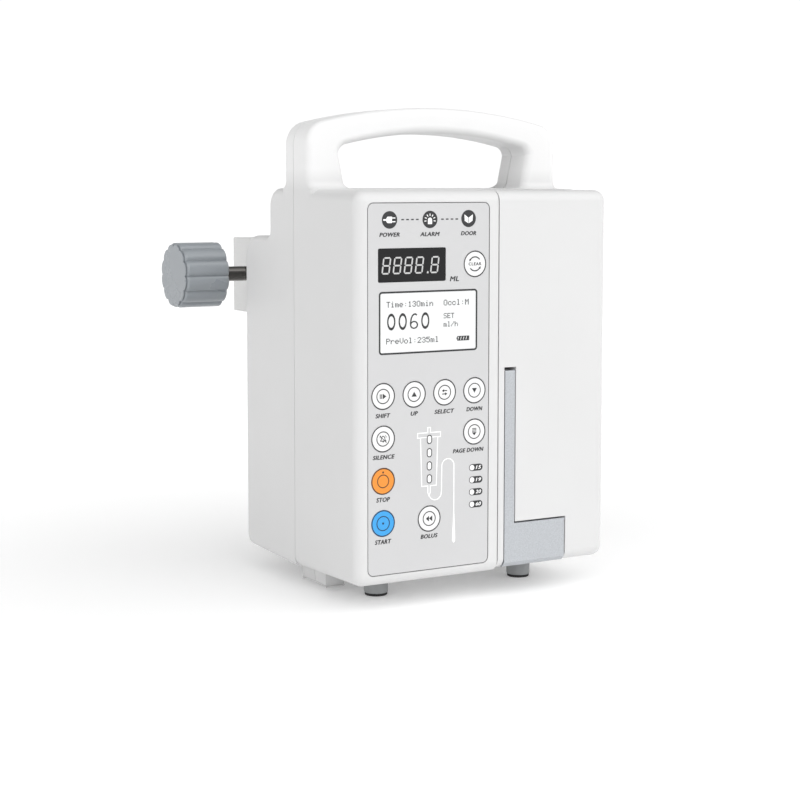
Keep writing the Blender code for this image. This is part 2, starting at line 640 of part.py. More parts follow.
def coil_spring(name, centre, y0, y1, radius, wire, turns):
    """A helix along Y, as one round wire."""
    per_turn = 10
    curve = bpy.data.curves.new(name, "CURVE")
    curve.dimensions = "3D"
    curve.bevel_depth = wire * MM
    curve.bevel_resolution = 0
    curve.use_fill_caps = True
    spline = curve.splines.new("POLY")
    count = turns * per_turn + 1
    spline.points.add(count - 1)
    for i, point in enumerate(spline.points):
        a = 2 * math.pi * i / per_turn
        y = y0 + (y1 - y0) * i / (count - 1)
        point.co = (radius * math.cos(a) * MM, y * MM, radius * math.sin(a) * MM, 1)
    curve.materials.append(MATERIALS["steel"])
    obj = bpy.data.objects.new(name, curve)
    obj.location = Vector((centre[0], 0, centre[2])) * MM
    obj.parent = ROOT
    PARTS.objects.link(obj)
    return obj


def latch_lever(hinge):
    axis = pivot("lever_pivot", (11.9, LEVER_Y, LEVER_Z), hinge)
    bm = prism_bm(lever_outline(0.0, DOOR_LOW + 0.2), "y", LEVER_FACE, LEVER_BACK)
    round_edges(bm, 2.0, 1, lambda a, b: max(a.y, b.y) < 1 and max(a.z, b.z) < 13)
    round_edges(bm, 0.8, 2, lambda a, b: min(a.z, b.z) > LEVER_TOP - 0.1 and abs(a.y - b.y) < 0.1)
    lever = add_object("latch_lever", finish_mesh("latch_lever", bm), "lever_silver")
    tail = box_bm((11.0, 3.0, LEVER_Z - 1.3), (12.9, 14.0, LEVER_Z + 1.3))
    grip = box_bm((LEVER_LEFT + 0.02, 5.0, DOOR_LOW + 2.2), (FOOT_RIGHT - 0.02, FOOT_BACK, FOOT_TOP - 0.02))
    join(lever, merged("join_tail", [tail], None), merged("join_foot", [grip], None))
    cut(lever, merged("cut_lever_bore",
                      [cylinder_bm(1.45, 9, "x", 10, (11.95, LEVER_Y, LEVER_Z))], None))
    hang(axis, lever)
    hang(hinge, cylinder("lever_pin", (11.95, LEVER_Y, LEVER_Z), 1.15, 7.2, "x", "steel", 10))


def latch_bar(hinge):
    """The bar behind the lever's arm. Its two tongues reach through the bay wall."""
    slide = pivot("latch_bar_slide", (12.0, 13.6, LEVER_Z), hinge)
    bar = box("latch_bar", (9.8, 12.6, 50.0), (14.2, 14.6, 136.0), "steel")
    tongues = [box_bm((10.6, 13.0, b - 9.0), (13.4, 24.6, b - 1.0)) for _, b in LATCH_SLOTS]
    join(bar, merged("join_tongues", tongues, None))
    window = box_bm((10.5, 10, LEVER_Z - 2.8), (13.5, 20, LEVER_Z + 2.8))
    cut(bar, merged("cut_bar_window", [window], None))
    hang(slide, bar)


def striker_plate():
    plate = box("striker_plate", (8.9, 20.4, 43.0), (15.6, 22.2, 137.0), "steel")
    slots = [box_bm((10.2, 18, low), (13.8, 25, high)) for low, high in LATCH_SLOTS]
    cut(plate, merged("cut_striker", slots, None))


# ---------------------------------------------------------------- pump mechanism

def finger_span():
    """Lowest and highest Z of the row of fingers."""
    return FINGER_LOW, FINGER_LOW + FINGERS * FINGER_PITCH - 0.8


def fingers():
    """Each finger frames its own cam and slides along Y."""
    for i in range(FINGERS):
        low = FINGER_LOW + i * FINGER_PITCH
        high = low + FINGER_PITCH - 0.8
        name = f"pump_finger_{i + 1}"
        finger = box(name, (TUBE_X - 12, CAM_Y - 12, low), (TUBE_X + 12, CAM_Y + 12, high), "aluminium")
        nose = box_bm((TUBE_X - 3, FINGER_TIP, low + 0.01), (TUBE_X + 3, CAM_Y - 11, high - 0.01))
        join(finger, merged("join_nose_" + name, [nose], None))
        window = cylinder_bm(9.9, 20, "z", 20, (TUBE_X, CAM_Y, (low + high) / 2))
        cut(finger, merged("cut_window_" + name, [window], None))


def camshaft():
    """A shaft with one eccentric disc for each finger, a sixth of a turn apart."""
    low, high = finger_span()
    centre = (TUBE_X, CAM_Y, (low + high) / 2)
    axis = pivot("camshaft_axis", centre)
    shaft = cylinder("camshaft", (TUBE_X, CAM_Y, 93.5), SHAFT_R, 68.0, "z", "steel", 16)
    discs = []
    for i in range(FINGERS):
        a = 2 * math.pi * i / FINGERS
        z = FINGER_LOW + (i + 0.5) * FINGER_PITCH - 0.4
        discs.append(cylinder_bm(CAM_R, FINGER_PITCH - 1.6, "z", 20,
                                 (TUBE_X + CAM_THROW * math.cos(a), CAM_Y + CAM_THROW * math.sin(a), z)))
    tip = cylinder_bm(2.5, 8.0, "z", 12, (TUBE_X, CAM_Y, 58.5))
    join(shaft, merged("join_cams", discs, None), merged("join_shaft_end", [tip], None))
    coupling = cylinder("shaft_coupling", (TUBE_X, CAM_Y, 52.5), 7.0, 8.0, "z", "aluminium", 20)
    cut(coupling, merged("cut_coupling", [cylinder_bm(2.8, 12, "z", 12, (TUBE_X, CAM_Y, 52.5))], None))
    motor_shaft = cylinder("motor_shaft", (TUBE_X, CAM_Y, 50.0), 2.5, 7.0, "z", "steel", 12)
    hang(axis, shaft, coupling, motor_shaft)


def bearings_and_chassis():
    back = box("pump_chassis", (20, 57.0, 62.0), (48, 59.0, 129.0), "aluminium")
    shelves = [box_bm((20.02, BAY_BACK + GAP, z0), (47.98, 58.5, z0 + 3.0)) for z0 in (62.02, 125.98)]
    join(back, merged("join_shelves", shelves, None))
    bores = [cylinder_bm(8.3, 8, "z", 20, (TUBE_X, CAM_Y, z)) for z in (63.5, 127.5)]
    cut(back, merged("cut_bearing_seats", bores, None))
    for name, z in (("bearing_lower", 63.5), ("bearing_upper", 127.0)):
        ring = cylinder(name, (TUBE_X, CAM_Y, z), 8.0, 3.0, "z", "steel", 20)
        cut(ring, merged("cut_" + name, [cylinder_bm(4.3, 8, "z", 16, (TUBE_X, CAM_Y, z))], None))


def bay_sensors():
    """The air detector, which the tube lies in, and the pressure sensor beside the tube."""
    detector = box("bubble_detector", (26, 17.6, 52), (42, 22.2, 66), "dark_plastic", 0.8, 1)
    cut(detector, merged("cut_tube_slot", [box_bm((TUBE_X - 2.4, 10, 40), (TUBE_X + 2.4, 21.0, 80))], None))
    box("pressure_sensor", (28, 19.0, 126), (40, 22.2, 136), "steel", 0.8, 1)


def internals():
    box("stepper_motor", (18, 26, 16), (50, 58, 46), "dark_plastic", 3.0, 1,
        lambda a, b: abs(a.z - b.z) > 5)
    box("main_board", (-58, 61.0, 32), (17, 62.6, 132), "board")
    box("power_supply", (-47, 66, 17), (-7, 86, 62), "aluminium")
    box("battery_pack", (-46, 68, 76), (4, 92, 136), "clamp_grey", 2.0, 1)
    cylinder("speaker", (35, 98.5, 61), 13.0, 8.0, "y", "dark_plastic", 20)


def mains_inlet():
    inlet = box("mains_inlet", (-43.4, 90, 26.2), (-16.6, REAR_Y + 0.2, 45.8), "dark_plastic")
    flange = box_bm((-46, REAR_Y + 0.1, 23.5), (-14, REAR_Y + 2.2, 48.5))
    join(inlet, merged("join_inlet_flange", [flange], None))
    socket = box_bm((-41.4, 93, 28.4), (-18.6, REAR_Y + 5, 43.6))
    cut(inlet, merged("cut_inlet_socket", [socket], None))
    pins = [box_bm((-30 + dx - 1.0, 92, 36 + dz - 2.0), (-30 + dx + 1.0, 103, 36 + dz + 2.0))
            for dx, dz in ((-7, 1.6), (0, -2.0), (7, 1.6))]
    join(inlet, merged("join_inlet_pins", pins, None))


# ---------------------------------------------------------------- clamp, feet and screws

def clamp_bracket():
    outline = [(CLAMP_LEFT, REAR_Y + 0.4), (CLAMP_RIGHT, REAR_Y + 0.4), (CLAMP_RIGHT, 168),
               (20, 168), (20, 147), (25, 138), (20, 129), (20, 113), (-25, 113),
               (-25, CLAMP_END), (CLAMP_LEFT, CLAMP_END)]
    bracket = merged("clamp_bracket", [prism_bm(outline, "z", CLAMP_LOW, CLAMP_TOP)], "clamp_grey")
    cut(bracket, merged("cut_screw_bore",
                        [cylinder_bm(SCREW_R + GAP, 30, "x", 16, (-32, SCREW_Y, SCREW_Z))], None))


def clamp_screw():
    slide = pivot("clamp_slide", (-21, SCREW_Y, SCREW_Z))
    turn = pivot("clamp_turn", (-21, SCREW_Y, SCREW_Z), slide)
    screw = cylinder("clamp_screw", (-45.0, SCREW_Y, SCREW_Z), SCREW_R, 47.4, "x", "steel", 16)
    steps = KNOB_LOBES * 6
    outline = []
    for i in range(steps):
        a = 2 * math.pi * i / steps
        r = KNOB_R - 0.55 * (1 - math.cos(KNOB_LOBES * a))
        outline.append((SCREW_Y + r * math.cos(a), SCREW_Z + r * math.sin(a)))
    knob = merged("clamp_knob", [prism_bm(outline, "x", KNOB_LEFT, KNOB_RIGHT)], "knob_grey")
    cut(knob, merged("cut_knob_bore",
                     [cylinder_bm(SCREW_R + GAP, 12, "x", 16, (-63, SCREW_Y, SCREW_Z))], None))
    hang(turn, screw, knob)
    hang(slide, cylinder("clamp_pad", (-19.0, SCREW_Y, SCREW_Z), 8.0, 4.0, "x", "rubber", 20))


def feet():
    for name, (x, y) in FEET.items():
        top = PART_LOW - 0.1 if y > PART_Y else PART_LOW
        foot = cylinder_bm(FOOT_R - 0.8, top - GAP, "z", 20, (0, 0, (top - GAP) / 2), FOOT_R)
        add_object(name, finish_mesh(name, foot), "rubber", (x, y, 0))


def case_screws():
    for side, x in (("left", -BOSS_X), ("right", BOSS_X)):
        for level, z in zip(("lower", "upper"), BOSS_Z):
            name = f"case_screw_{side}_{level}"
            head = cylinder(name, (x, REAR_Y - 6.6, z), 2.9, 2.2, "y", "steel", 14)
            shank = cylinder_bm(1.4, 56.0, "y", 10, (x, REAR_Y - 35.0, z))
            join(head, merged("join_shank_" + name, [shank], None))


def main():
    front_housing()
    rear_housing()
    keypad_overlay()
    keys()
    displays()
    hinge = pivot("door_hinge_axis", (HINGE_X, HINGE_Y, 92.0))
    door_shell(hinge)
    door_inner_plate(hinge)
    hinge_pins(hinge)
    platen(hinge)
    latch_lever(hinge)
    latch_bar(hinge)
    striker_plate()
    fingers()
    camshaft()
    bearings_and_chassis()
    bay_sensors()
    internals()
    mains_inlet()
    clamp_bracket()
    clamp_screw()
    feet()
    case_screws()


main()
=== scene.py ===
"""Visual model of an upright infusion pump with a carrying handle, a pump door and a pole clamp.

Shapes are built in millimetres in the case's own frame: X to the right, Y to the back from
the front face, Z up from the feet, with X = 0 at the middle of the case. SHIFT takes that
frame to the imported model's.
"""
import math

import bmesh
import bpy
from mathutils import Matrix, Vector


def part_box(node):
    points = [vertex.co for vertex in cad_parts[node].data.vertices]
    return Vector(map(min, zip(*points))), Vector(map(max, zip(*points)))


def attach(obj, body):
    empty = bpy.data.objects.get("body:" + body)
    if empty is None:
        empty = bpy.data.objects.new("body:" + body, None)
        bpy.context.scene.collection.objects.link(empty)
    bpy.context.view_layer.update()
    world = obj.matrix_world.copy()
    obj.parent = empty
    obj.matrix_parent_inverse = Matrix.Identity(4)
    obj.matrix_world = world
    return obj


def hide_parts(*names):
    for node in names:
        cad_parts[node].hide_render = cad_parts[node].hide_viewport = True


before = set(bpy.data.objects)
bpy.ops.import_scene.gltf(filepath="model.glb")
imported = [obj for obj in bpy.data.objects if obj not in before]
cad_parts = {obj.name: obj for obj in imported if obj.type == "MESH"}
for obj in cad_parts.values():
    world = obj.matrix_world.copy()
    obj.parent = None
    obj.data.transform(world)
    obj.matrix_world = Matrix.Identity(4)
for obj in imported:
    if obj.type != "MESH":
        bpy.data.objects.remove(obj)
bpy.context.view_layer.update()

MM = 0.001
CASE_LOW, CASE_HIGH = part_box("front_housing")
SHIFT = Vector(((CASE_LOW[0] + CASE_HIGH[0]) / 2, CASE_LOW[1], 0.0))

# Case
PART_Y, REAR_Y, STEP_Y = 54.0, 106.0, 80.0
FRONT_HALF, PART_HALF, REAR_HALF = 62.1, 63.0, 62.0
FRONT_LOW, PART_LOW, REAR_LOW = 11.0, 10.2, 11.2
FRONT_TOP, PART_TOP, STEP_TOP = 172.4, 173.2, 152.2
EDGE_R, WALL, SEAM = 4.8, 2.5, 0.3
FINE = 8                      # steps in a quarter turn of a case edge
HOLLOW_HALF, HOLLOW_LOW, HOLLOW_TOP = 59.9, 13.2, 170.3          # behind the bay wall
FRONT_HOLLOW_HALF, FRONT_HOLLOW_LOW, FRONT_HOLLOW_TOP = 59.6, 13.5, 170.0
SKID_INNER, SKID_OUTER, SKID_LOW, SKID_FRONT, SKID_REAR = 45.5, 54.5, 2.6, 42.3, 66.0

# Handle
HANDLE_FRONT, HANDLE_REAR = 40.5, 64.2
HANDLE_APEX, HANDLE_ARC_R = 207.9, 245.0
OPENING_APEX, OPENING_ARC_R = 196.8, 195.0
OPENING_HALF_LOW, OPENING_HALF_HIGH = 45.3, 47.7
HANDLE_CORNER_R, OPENING_CORNER_R, HANDLE_EDGE_R, HANDLE_FOOT_R = 10.0, 5.0, 3.6, 3.5

# Panel
PANEL = (-57.1, 1.0, 15.5, 167.5)
PANEL_R, FILM_FRONT, FILM_BACK = 2.7, 0.1, 0.4
KEY_R, KEY_FRONT = 5.5, 0.05
COLUMNS = (-49.9, -35.3, -20.7, -6.1)
ROWS = (89.2, 71.8, 54.4, 37.0)
KEYS = {
    "shift": (COLUMNS[0], ROWS[0]), "up": (COLUMNS[1], ROWS[0]),
    "select": (COLUMNS[2], ROWS[0]), "down": (COLUMNS[3], ROWS[0]),
    "silence": (COLUMNS[0], ROWS[1]), "page_down": (COLUMNS[3], ROWS[1]),
    "stop": (COLUMNS[0], ROWS[2]), "start": (COLUMNS[0], ROWS[3]),
    "bolus": (-28.0, ROWS[3]), "clear": (COLUMNS[3], 142.0),
}
LED = (-52.2, -20.3, 135.4, 149.1)
LCD = (-51.3, -5.4, 106.6, 131.1)

# Door and bay
DOOR_LEFT, DOOR_LOW, DOOR_REAR, CASE_EDGE_X = 6.05, 12.0, 21.5, 5.55
BAY_FRONT, BAY_BACK = 22.5, 25.0
HINGE_X, HINGE_Y, HINGE_Z = FRONT_HALF - EDGE_R, DOOR_REAR - EDGE_R, (40.0, 146.0)
KNUCKLE_R, KNUCKLE_HALF, LUG_HALF, PIN_R = 4.2, 12.0, 4.0, 1.5
TUBE_X = 34.0
LEVER_LEFT, LEVER_RIGHT, LEVER_TOP = 9.4, 14.4, 96.6
FOOT_RIGHT, FOOT_TOP = 40.4, 30.9
LEVER_Y, LEVER_Z = 3.5, 91.0
LATCH_SLOTS = ((47.0, 65.0), (115.0, 133.0))
FINGER_LOW, FINGER_HIGH = 72.0, 119.2

# Back and feet
VENT_X, VENT_COUNT, VENT_LOW, VENT_PITCH, VENT_TALL = (26, 44), 5, 52.0, 4.0, 1.8
MAINS = (-43.8, -16.2, 25.8, 46.2)
FEET = {"front_left": (-36.5, 30.0), "front_right": (36.5, 30.0),
        "rear_left": (-36.5, 88.0), "rear_right": (36.5, 88.0)}
FOOT_BODY_TOP = 9.75

# Clamp
CLAMP_LEFT, CLAMP_RIGHT, CLAMP_LOW, CLAMP_TOP, CLAMP_END = -36.4, 30.0, 113.0, 149.0, 174.0
THREAD_PITCH, THREAD_DEPTH = 1.12, 0.55
SCREW_Y, SCREW_Z, SCREW_R = 138.0, 133.0, 3.45
KNOB_LEFT, KNOB_RIGHT, KNOB_R, KNOB_LOBES = -83.3, -61.6, 15.2, 12
BOSS_X, BOSS_Z = 55.0, (24.0, 140.0)


# ---- meshes

def box_bm(low, high):
    low, high = Vector(low), Vector(high)
    bm = bmesh.new()
    bmesh.ops.create_cube(bm, size=1.0)
    bmesh.ops.scale(bm, vec=high - low, verts=bm.verts)
    bmesh.ops.translate(bm, vec=(low + high) / 2, verts=bm.verts)
    return bm


def round_edges(bm, radius, steps, wanted):
    edges = [e for e in bm.edges if wanted(*(v.co for v in e.verts))]
    bmesh.ops.bevel(bm, geom=edges, offset=radius, offset_type="OFFSET", segments=steps,
                    profile=0.5, affect="EDGES", clamp_overlap=True)
    return bm


AXES = {
    "x": Matrix.Rotation(math.radians(90), 4, "Y"),
    "y": Matrix.Rotation(math.radians(-90), 4, "X"),
    "z": Matrix.Identity(4),
}


def tube_bm(radius, length, axis, centre, sides=48):
    bm = bmesh.new()
    bmesh.ops.create_cone(bm, cap_ends=True, segments=sides, radius1=radius, radius2=radius,
                          depth=length)
    bmesh.ops.transform(bm, matrix=AXES[axis], verts=bm.verts)
    bmesh.ops.translate(bm, vec=centre, verts=bm.verts)
    return bm


def lathe_bm(profile, axis, centre, sides=48):
    """A closed solid turned from (radius, height) points. The first and last radius are 0."""
    bm = bmesh.new()
    rings = []
    for r, h in profile:
        if r < 1e-6:
            rings.append([bm.verts.new((0, 0, h))])
        else:
            rings.append([bm.verts.new((r * math.cos(2 * math.pi * i / sides),
                                        r * math.sin(2 * math.pi * i / sides), h))
                          for i in range(sides)])
    for a, b in zip(rings, rings[1:]):
        for i in range(sides):
            j = (i + 1) % sides
            if len(a) == 1:
                bm.faces.new((a[0], b[i], b[j]))
            elif len(b) == 1:
                bm.faces.new((a[i], b[0], a[j]))
            else:
                bm.faces.new((a[i], b[i], b[j], a[j]))
    bmesh.ops.transform(bm, matrix=AXES[axis], verts=bm.verts)
    bmesh.ops.translate(bm, vec=centre, verts=bm.verts)
    return bm


def prism_bm(outline, axis, low, high):
    """Points are (x, z) for axis y, (x, y) for axis z and (y, z) for axis x."""
    place = {
        "y": lambda p, d: (p[0], d, p[1]),
        "z": lambda p, d: (p[0], p[1], d),
        "x": lambda p, d: (d, p[0], p[1]),
    }[axis]
    bm = bmesh.new()
    face = bm.faces.new([bm.verts.new(place(p, low)) for p in outline])
    made = bmesh.ops.extrude_face_region(bm, geom=[face])
    moved = [v for v in made["geom"] if isinstance(v, bmesh.types.BMVert)]
    shift = Vector(place((0.0, 0.0), high)) - Vector(place((0.0, 0.0), low))
    bmesh.ops.translate(bm, vec=shift, verts=moved)
    return bm


def rounded_outline(left, right, low, top, radius, steps=8):
    points = []
    for x, z, start in ((right, top, 0), (left, top, 90), (left, low, 180), (right, low, 270)):
        cx = x - radius if x == right else x + radius
        cz = z - radius if z == top else z + radius
        points += arc(cx, cz, radius, start, start + 90, steps)
    return points


def arc(cx, cz, radius, start, end, steps):
    turn = [math.radians(start + (end - start) * i / steps) for i in range(steps + 1)]
    return [(cx + radius * math.cos(a), cz + radius * math.sin(a)) for a in turn]


def bridge(bm, a, b, spans=None):
    """Quads between two rings, or along the first spans of two lines."""
    for i in range(len(a) if spans is None else spans):
        j = (i + 1) % len(a)
        bm.faces.new((a[i], a[j], b[j], b[i]))


def grown(area, by):
    return area[0] - by, area[1] + by, area[2] - by, area[3] + by


def rect(x0, x1, z0, z1):
    return [(x0, z0), (x1, z0), (x1, z1), (x0, z1)]


def mesh_of(name, bm):
    mesh = bpy.data.meshes.new(name)
    bm.to_mesh(mesh)
    bm.free()
    return mesh


def linked(name, data):
    obj = bpy.data.objects.new(name, data)
    bpy.context.scene.collection.objects.link(obj)
    return obj


def gathered(bms):
    """Several bmeshes in one."""
    whole = bmesh.new()
    for bm in bms:
        bmesh.ops.recalc_face_normals(bm, faces=bm.faces)
        mesh = mesh_of("scratch", bm)
        whole.from_mesh(mesh)
        bpy.data.meshes.remove(mesh)
    return whole


def scratch_object(bm):
    bmesh.ops.recalc_face_normals(bm, faces=bm.faces)
    return linked("scratch", mesh_of("scratch", bm))


def combined(bm, steps):
    """The bmesh after Booleans. Each step is an operation and a bmesh."""
    body = scratch_object(bm)
    others = []
    for operation, other in steps:
        others.append(scratch_object(other))
        modifier = body.modifiers.new(operation, "BOOLEAN")
        modifier.operation = operation
        modifier.use_self = True
        modifier.object = others[-1]
    bpy.context.view_layer.update()
    graph = bpy.context.evaluated_depsgraph_get()
    made = bpy.data.meshes.new_from_object(body.evaluated_get(graph), depsgraph=graph)
    result = bmesh.new()
    result.from_mesh(made)
    bmesh.ops.remove_doubles(result, verts=result.verts, dist=1e-4)
    bmesh.ops.dissolve_degenerate(result, edges=result.edges, dist=1e-4)
    for obj in [body] + others:
        mesh = obj.data
        bpy.data.objects.remove(obj, do_unlink=True)
        bpy.data.meshes.remove(mesh)
    bpy.data.meshes.remove(made)
    return result


def piece(name, bm, material, body="case", replaced=(), smooth=35.0):
    """Turns a bmesh in case millimetres into a finished piece that rides on a body."""
    bmesh.ops.recalc_face_normals(bm, faces=bm.faces)
    bmesh.ops.scale(bm, vec=(MM, MM, MM), verts=bm.verts)
    bmesh.ops.translate(bm, vec=SHIFT, verts=bm.verts)
    mesh = mesh_of(name, bm)
    for polygon in mesh.polygons:
        polygon.use_smooth = smooth > 0
    if smooth > 0:
        mesh.set_sharp_from_angle(angle=math.radians(smooth))
    mesh.materials.append(material)
    obj = linked(name, mesh)
    if smooth > 0:
        modifier = obj.modifiers.new("weighted_normals", "WEIGHTED_NORMAL")
        modifier.keep_sharp = True
        modifier.mode = "FACE_AREA"
        modifier.weight = 100
    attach(obj, body)
    if replaced:
        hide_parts(*replaced)
    return obj


# ---- materials

def new_material(name, color, roughness, metallic=0.0):
    material = bpy.data.materials.new(name)
    material.use_nodes = True
    shader = material.node_tree.nodes["Principled BSDF"]
    shader.inputs["Base Color"].default_value = (*color, 1.0)
    shader.inputs["Roughness"].default_value = roughness
    shader.inputs["Metallic"].default_value = metallic
    return material, material.node_tree.nodes, material.node_tree.links, shader


def add_node(nodes, kind, **values):
    """A new node with its inputs set. An underscore stands for the space in an input's name."""
    node = nodes.new(kind)
    for key, value in values.items():
        node.inputs[key.replace("_", " ")].default_value = value
    return node


def map_range(nodes, links, source, start, end, low, high, blend="LINEAR"):
    """The source, which runs from start to end, mapped to run from low to high."""
    node = add_node(nodes, "ShaderNodeMapRange", From_Min=start, From_Max=end, To_Min=low, To_Max=high)
    node.interpolation_type = blend
    links.new(source, node.inputs["Value"])
    return node.outputs["Result"]


def noise(nodes, links, scale, detail=2.0, rough=0.5):
    """A noise texture in object space, with its scale in features per millimetre."""
    where = nodes.new("ShaderNodeTexCoord")
    texture = add_node(nodes, "ShaderNodeTexNoise", Scale=scale * 1000, Detail=detail, Roughness=rough)
    links.new(where.outputs["Object"], texture.inputs["Vector"])
    return texture


def varied(nodes, links, texture, shader, color, spread):
    """Base colour that drifts a little either side of one colour."""
    ramp = nodes.new("ShaderNodeValToRGB")
    ramp.color_ramp.elements[0].position = 0.3
    ramp.color_ramp.elements[1].position = 0.7
    ramp.color_ramp.elements[0].color = (*[c * (1 - spread) for c in color], 1.0)
    ramp.color_ramp.elements[1].color = (*[min(1.0, c * (1 + spread)) for c in color], 1.0)
    links.new(texture.outputs["Fac"], ramp.inputs["Fac"])
    links.new(ramp.outputs["Color"], shader.inputs["Base Color"])


def rough_range(nodes, links, texture, shader, low, high):
    span = map_range(nodes, links, texture.outputs["Fac"], 0.0, 1.0, low, high)
    links.new(span, shader.inputs["Roughness"])


def bumped(nodes, links, texture, shader, depth_mm, strength):
    bump = add_node(nodes, "ShaderNodeBump", Strength=strength, Distance=depth_mm * MM)
    links.new(texture.outputs["Fac"], bump.inputs["Height"])
    links.new(bump.outputs["Normal"], shader.inputs["Normal"])


def plastic(name, color, roughness, grain=3.0, depth=0.02, spread=0.012, shine=0.5):
    """Moulded plastic: a fine spark-eroded grain, and gloss that drifts slowly."""
    material, nodes, links, shader = new_material(name, color, roughness)
    varied(nodes, links, noise(nodes, links, 0.02, 3.0), shader, color, spread)
    rough_range(nodes, links, noise(nodes, links, 0.05, 4.0), shader, roughness - 0.05, roughness + 0.06)
    bumped(nodes, links, noise(nodes, links, grain, 2.0), shader, depth, 0.22)
    shader.inputs["Specular IOR Level"].default_value = shine
    return material


# Painted light: the second tone brightens the handle above the case's top, standing in for the stronger light
# that falls on it.
CASE_TONE, HANDLE_LIT_TONE = 0.815, 0.985
LIT_TONE_FADE = 9.0               # height over which the one tone passes into the other


def case_plastic():
    """The case's ABS, with painted light: the handle is a shade lighter than the case below it, standing in for
    the stronger light that falls on the handle.
    """
    color = (0.80, 0.80, 0.80)
    material = plastic("case_abs", color, 0.42)
    nodes, links = material.node_tree.nodes, material.node_tree.links
    shader = nodes["Principled BSDF"]
    drift = shader.inputs["Base Color"].links[0].from_socket
    where = nodes.new("ShaderNodeTexCoord")
    split = nodes.new("ShaderNodeSeparateXYZ")
    links.new(where.outputs["Object"], split.inputs["Vector"])
    # Painted light: the colour brightens from the case's top up into the handle.
    level = map_range(nodes, links, split.outputs["Z"], FRONT_TOP * MM, (FRONT_TOP + LIT_TONE_FADE) * MM,
                      CASE_TONE, HANDLE_LIT_TONE)
    shade = nodes.new("ShaderNodeVectorMath")
    shade.operation = "SCALE"
    links.new(drift, shade.inputs[0])
    links.new(level, shade.inputs["Scale"])
    links.new(shade.outputs["Vector"], shader.inputs["Base Color"])
    return material


def speckled(name, color, roughness, metallic, spread, scale):
    """Silver paint or powder coat: small flakes of differing brightness."""
    material, nodes, links, shader = new_material(name, color, roughness, metallic)
    varied(nodes, links, noise(nodes, links, scale, 3.0, 0.7), shader, color, spread)
    rough_range(nodes, links, noise(nodes, links, 0.8, 2.0), shader, roughness - 0.06, roughness + 0.08)
    bumped(nodes, links, noise(nodes, links, scale, 2.0), shader, 0.01, 0.2)
    return material


def metal(name, color, roughness, stretch):
    """Machined metal with fine lines across the stretched direction."""
    material, nodes, links, shader = new_material(name, color, roughness, 1.0)
    texture = noise(nodes, links, 1.5, 3.0, 0.6)
    mapping = add_node(nodes, "ShaderNodeMapping", Scale=stretch)
    where = texture.inputs["Vector"].links[0].from_socket
    links.new(where, mapping.inputs["Vector"])
    links.new(mapping.outputs["Vector"], texture.inputs["Vector"])
    varied(nodes, links, texture, shader, color, 0.05)
    rough_range(nodes, links, texture, shader, roughness - 0.07, roughness + 0.1)
    bumped(nodes, links, texture, shader, 0.01, 0.15)
    return material


def ink(name, color, roughness=0.5):
    """Screen printed ink, slightly uneven."""
    material, nodes, links, shader = new_material(name, color, roughness)
    varied(nodes, links, noise(nodes, links, 1.2, 2.0), shader, color, 0.04)
    return material


def glowing(name, color, strength):
    material, nodes, links, shader = new_material(name, color, 0.4)
    shader.inputs["Emission Color"].default_value = (*color, 1.0)
    shader.inputs["Emission Strength"].default_value = strength
    varied(nodes, links, noise(nodes, links, 1.0, 2.0), shader, color, 0.02)
    return material


M = {
    "case": case_plastic(),
    "film": plastic("panel_film", (0.56, 0.56, 0.565), 0.38, grain=2.0, depth=0.01),
    "key_white": plastic("key_white_film", (0.80, 0.80, 0.80), 0.36, grain=2.0, depth=0.008),
    "key_orange": plastic("key_orange_film", (0.80, 0.27, 0.03), 0.36, grain=2.0, depth=0.008),
    "key_blue": plastic("key_blue_film", (0.04, 0.34, 0.74), 0.36, grain=2.0, depth=0.008),
    "ink": ink("ink_dark", (0.022, 0.022, 0.024)),
    "ink_white": ink("ink_white", (0.95, 0.95, 0.95), 0.4),
    "ink_brown": ink("ink_brown", (0.055, 0.03, 0.012)),
    "ink_navy": ink("ink_navy", (0.008, 0.035, 0.085)),
    "smoked": plastic("smoked_window", (0.010, 0.010, 0.011), 0.16, grain=0.6, depth=0.004, shine=0.25),
    "segment": glowing("led_segment", (0.50, 0.50, 0.50), 0.1),
    "lcd": plastic("lcd_glass", (0.78, 0.79, 0.79), 0.12, grain=0.5, depth=0.003, spread=0.01),
    "lcd_ink": ink("lcd_ink", (0.02, 0.02, 0.022), 0.5),
    "lcd_pale": ink("lcd_ink_pale", (0.045, 0.045, 0.048), 0.5),
    "silver": speckled("lever_silver_paint", (0.465, 0.484, 0.508), 0.42, 0.35, 0.13, 1.6),
    "knob": plastic("knob_plastic", (0.262, 0.284, 0.306), 0.28, grain=4.0, depth=0.02, spread=0.04, shine=0.8),
    "clamp": speckled("clamp_powder_coat", (0.70, 0.70, 0.695), 0.5, 0.1, 0.05, 1.6),
    "steel": metal("steel_turned", (0.12, 0.115, 0.11), 0.14, (0.2, 1.0, 1.0)),
    "steel_plain": metal("steel_ground", (0.55, 0.55, 0.54), 0.3, (1.0, 1.0, 0.2)),
    "aluminium": metal("aluminium_milled", (0.72, 0.73, 0.74), 0.34, (1.0, 0.3, 1.0)),
    "dark": plastic("dark_plastic", (0.035, 0.036, 0.038), 0.5, grain=4.0, depth=0.03, spread=0.06),
    "board": plastic("solder_mask", (0.015, 0.11, 0.045), 0.35, grain=0.9, depth=0.02, spread=0.12),
    "rubber": plastic("foot_rubber", (0.33, 0.34, 0.345), 0.7, grain=5.0, depth=0.05, spread=0.06),
    "black_rubber": plastic("pad_rubber", (0.02, 0.02, 0.02), 0.8, grain=5.0, depth=0.06, spread=0.08),
    "label": plastic("battery_wrap", (0.45, 0.47, 0.52), 0.4, grain=2.0, depth=0.01, spread=0.04),
}


# ---- case shells

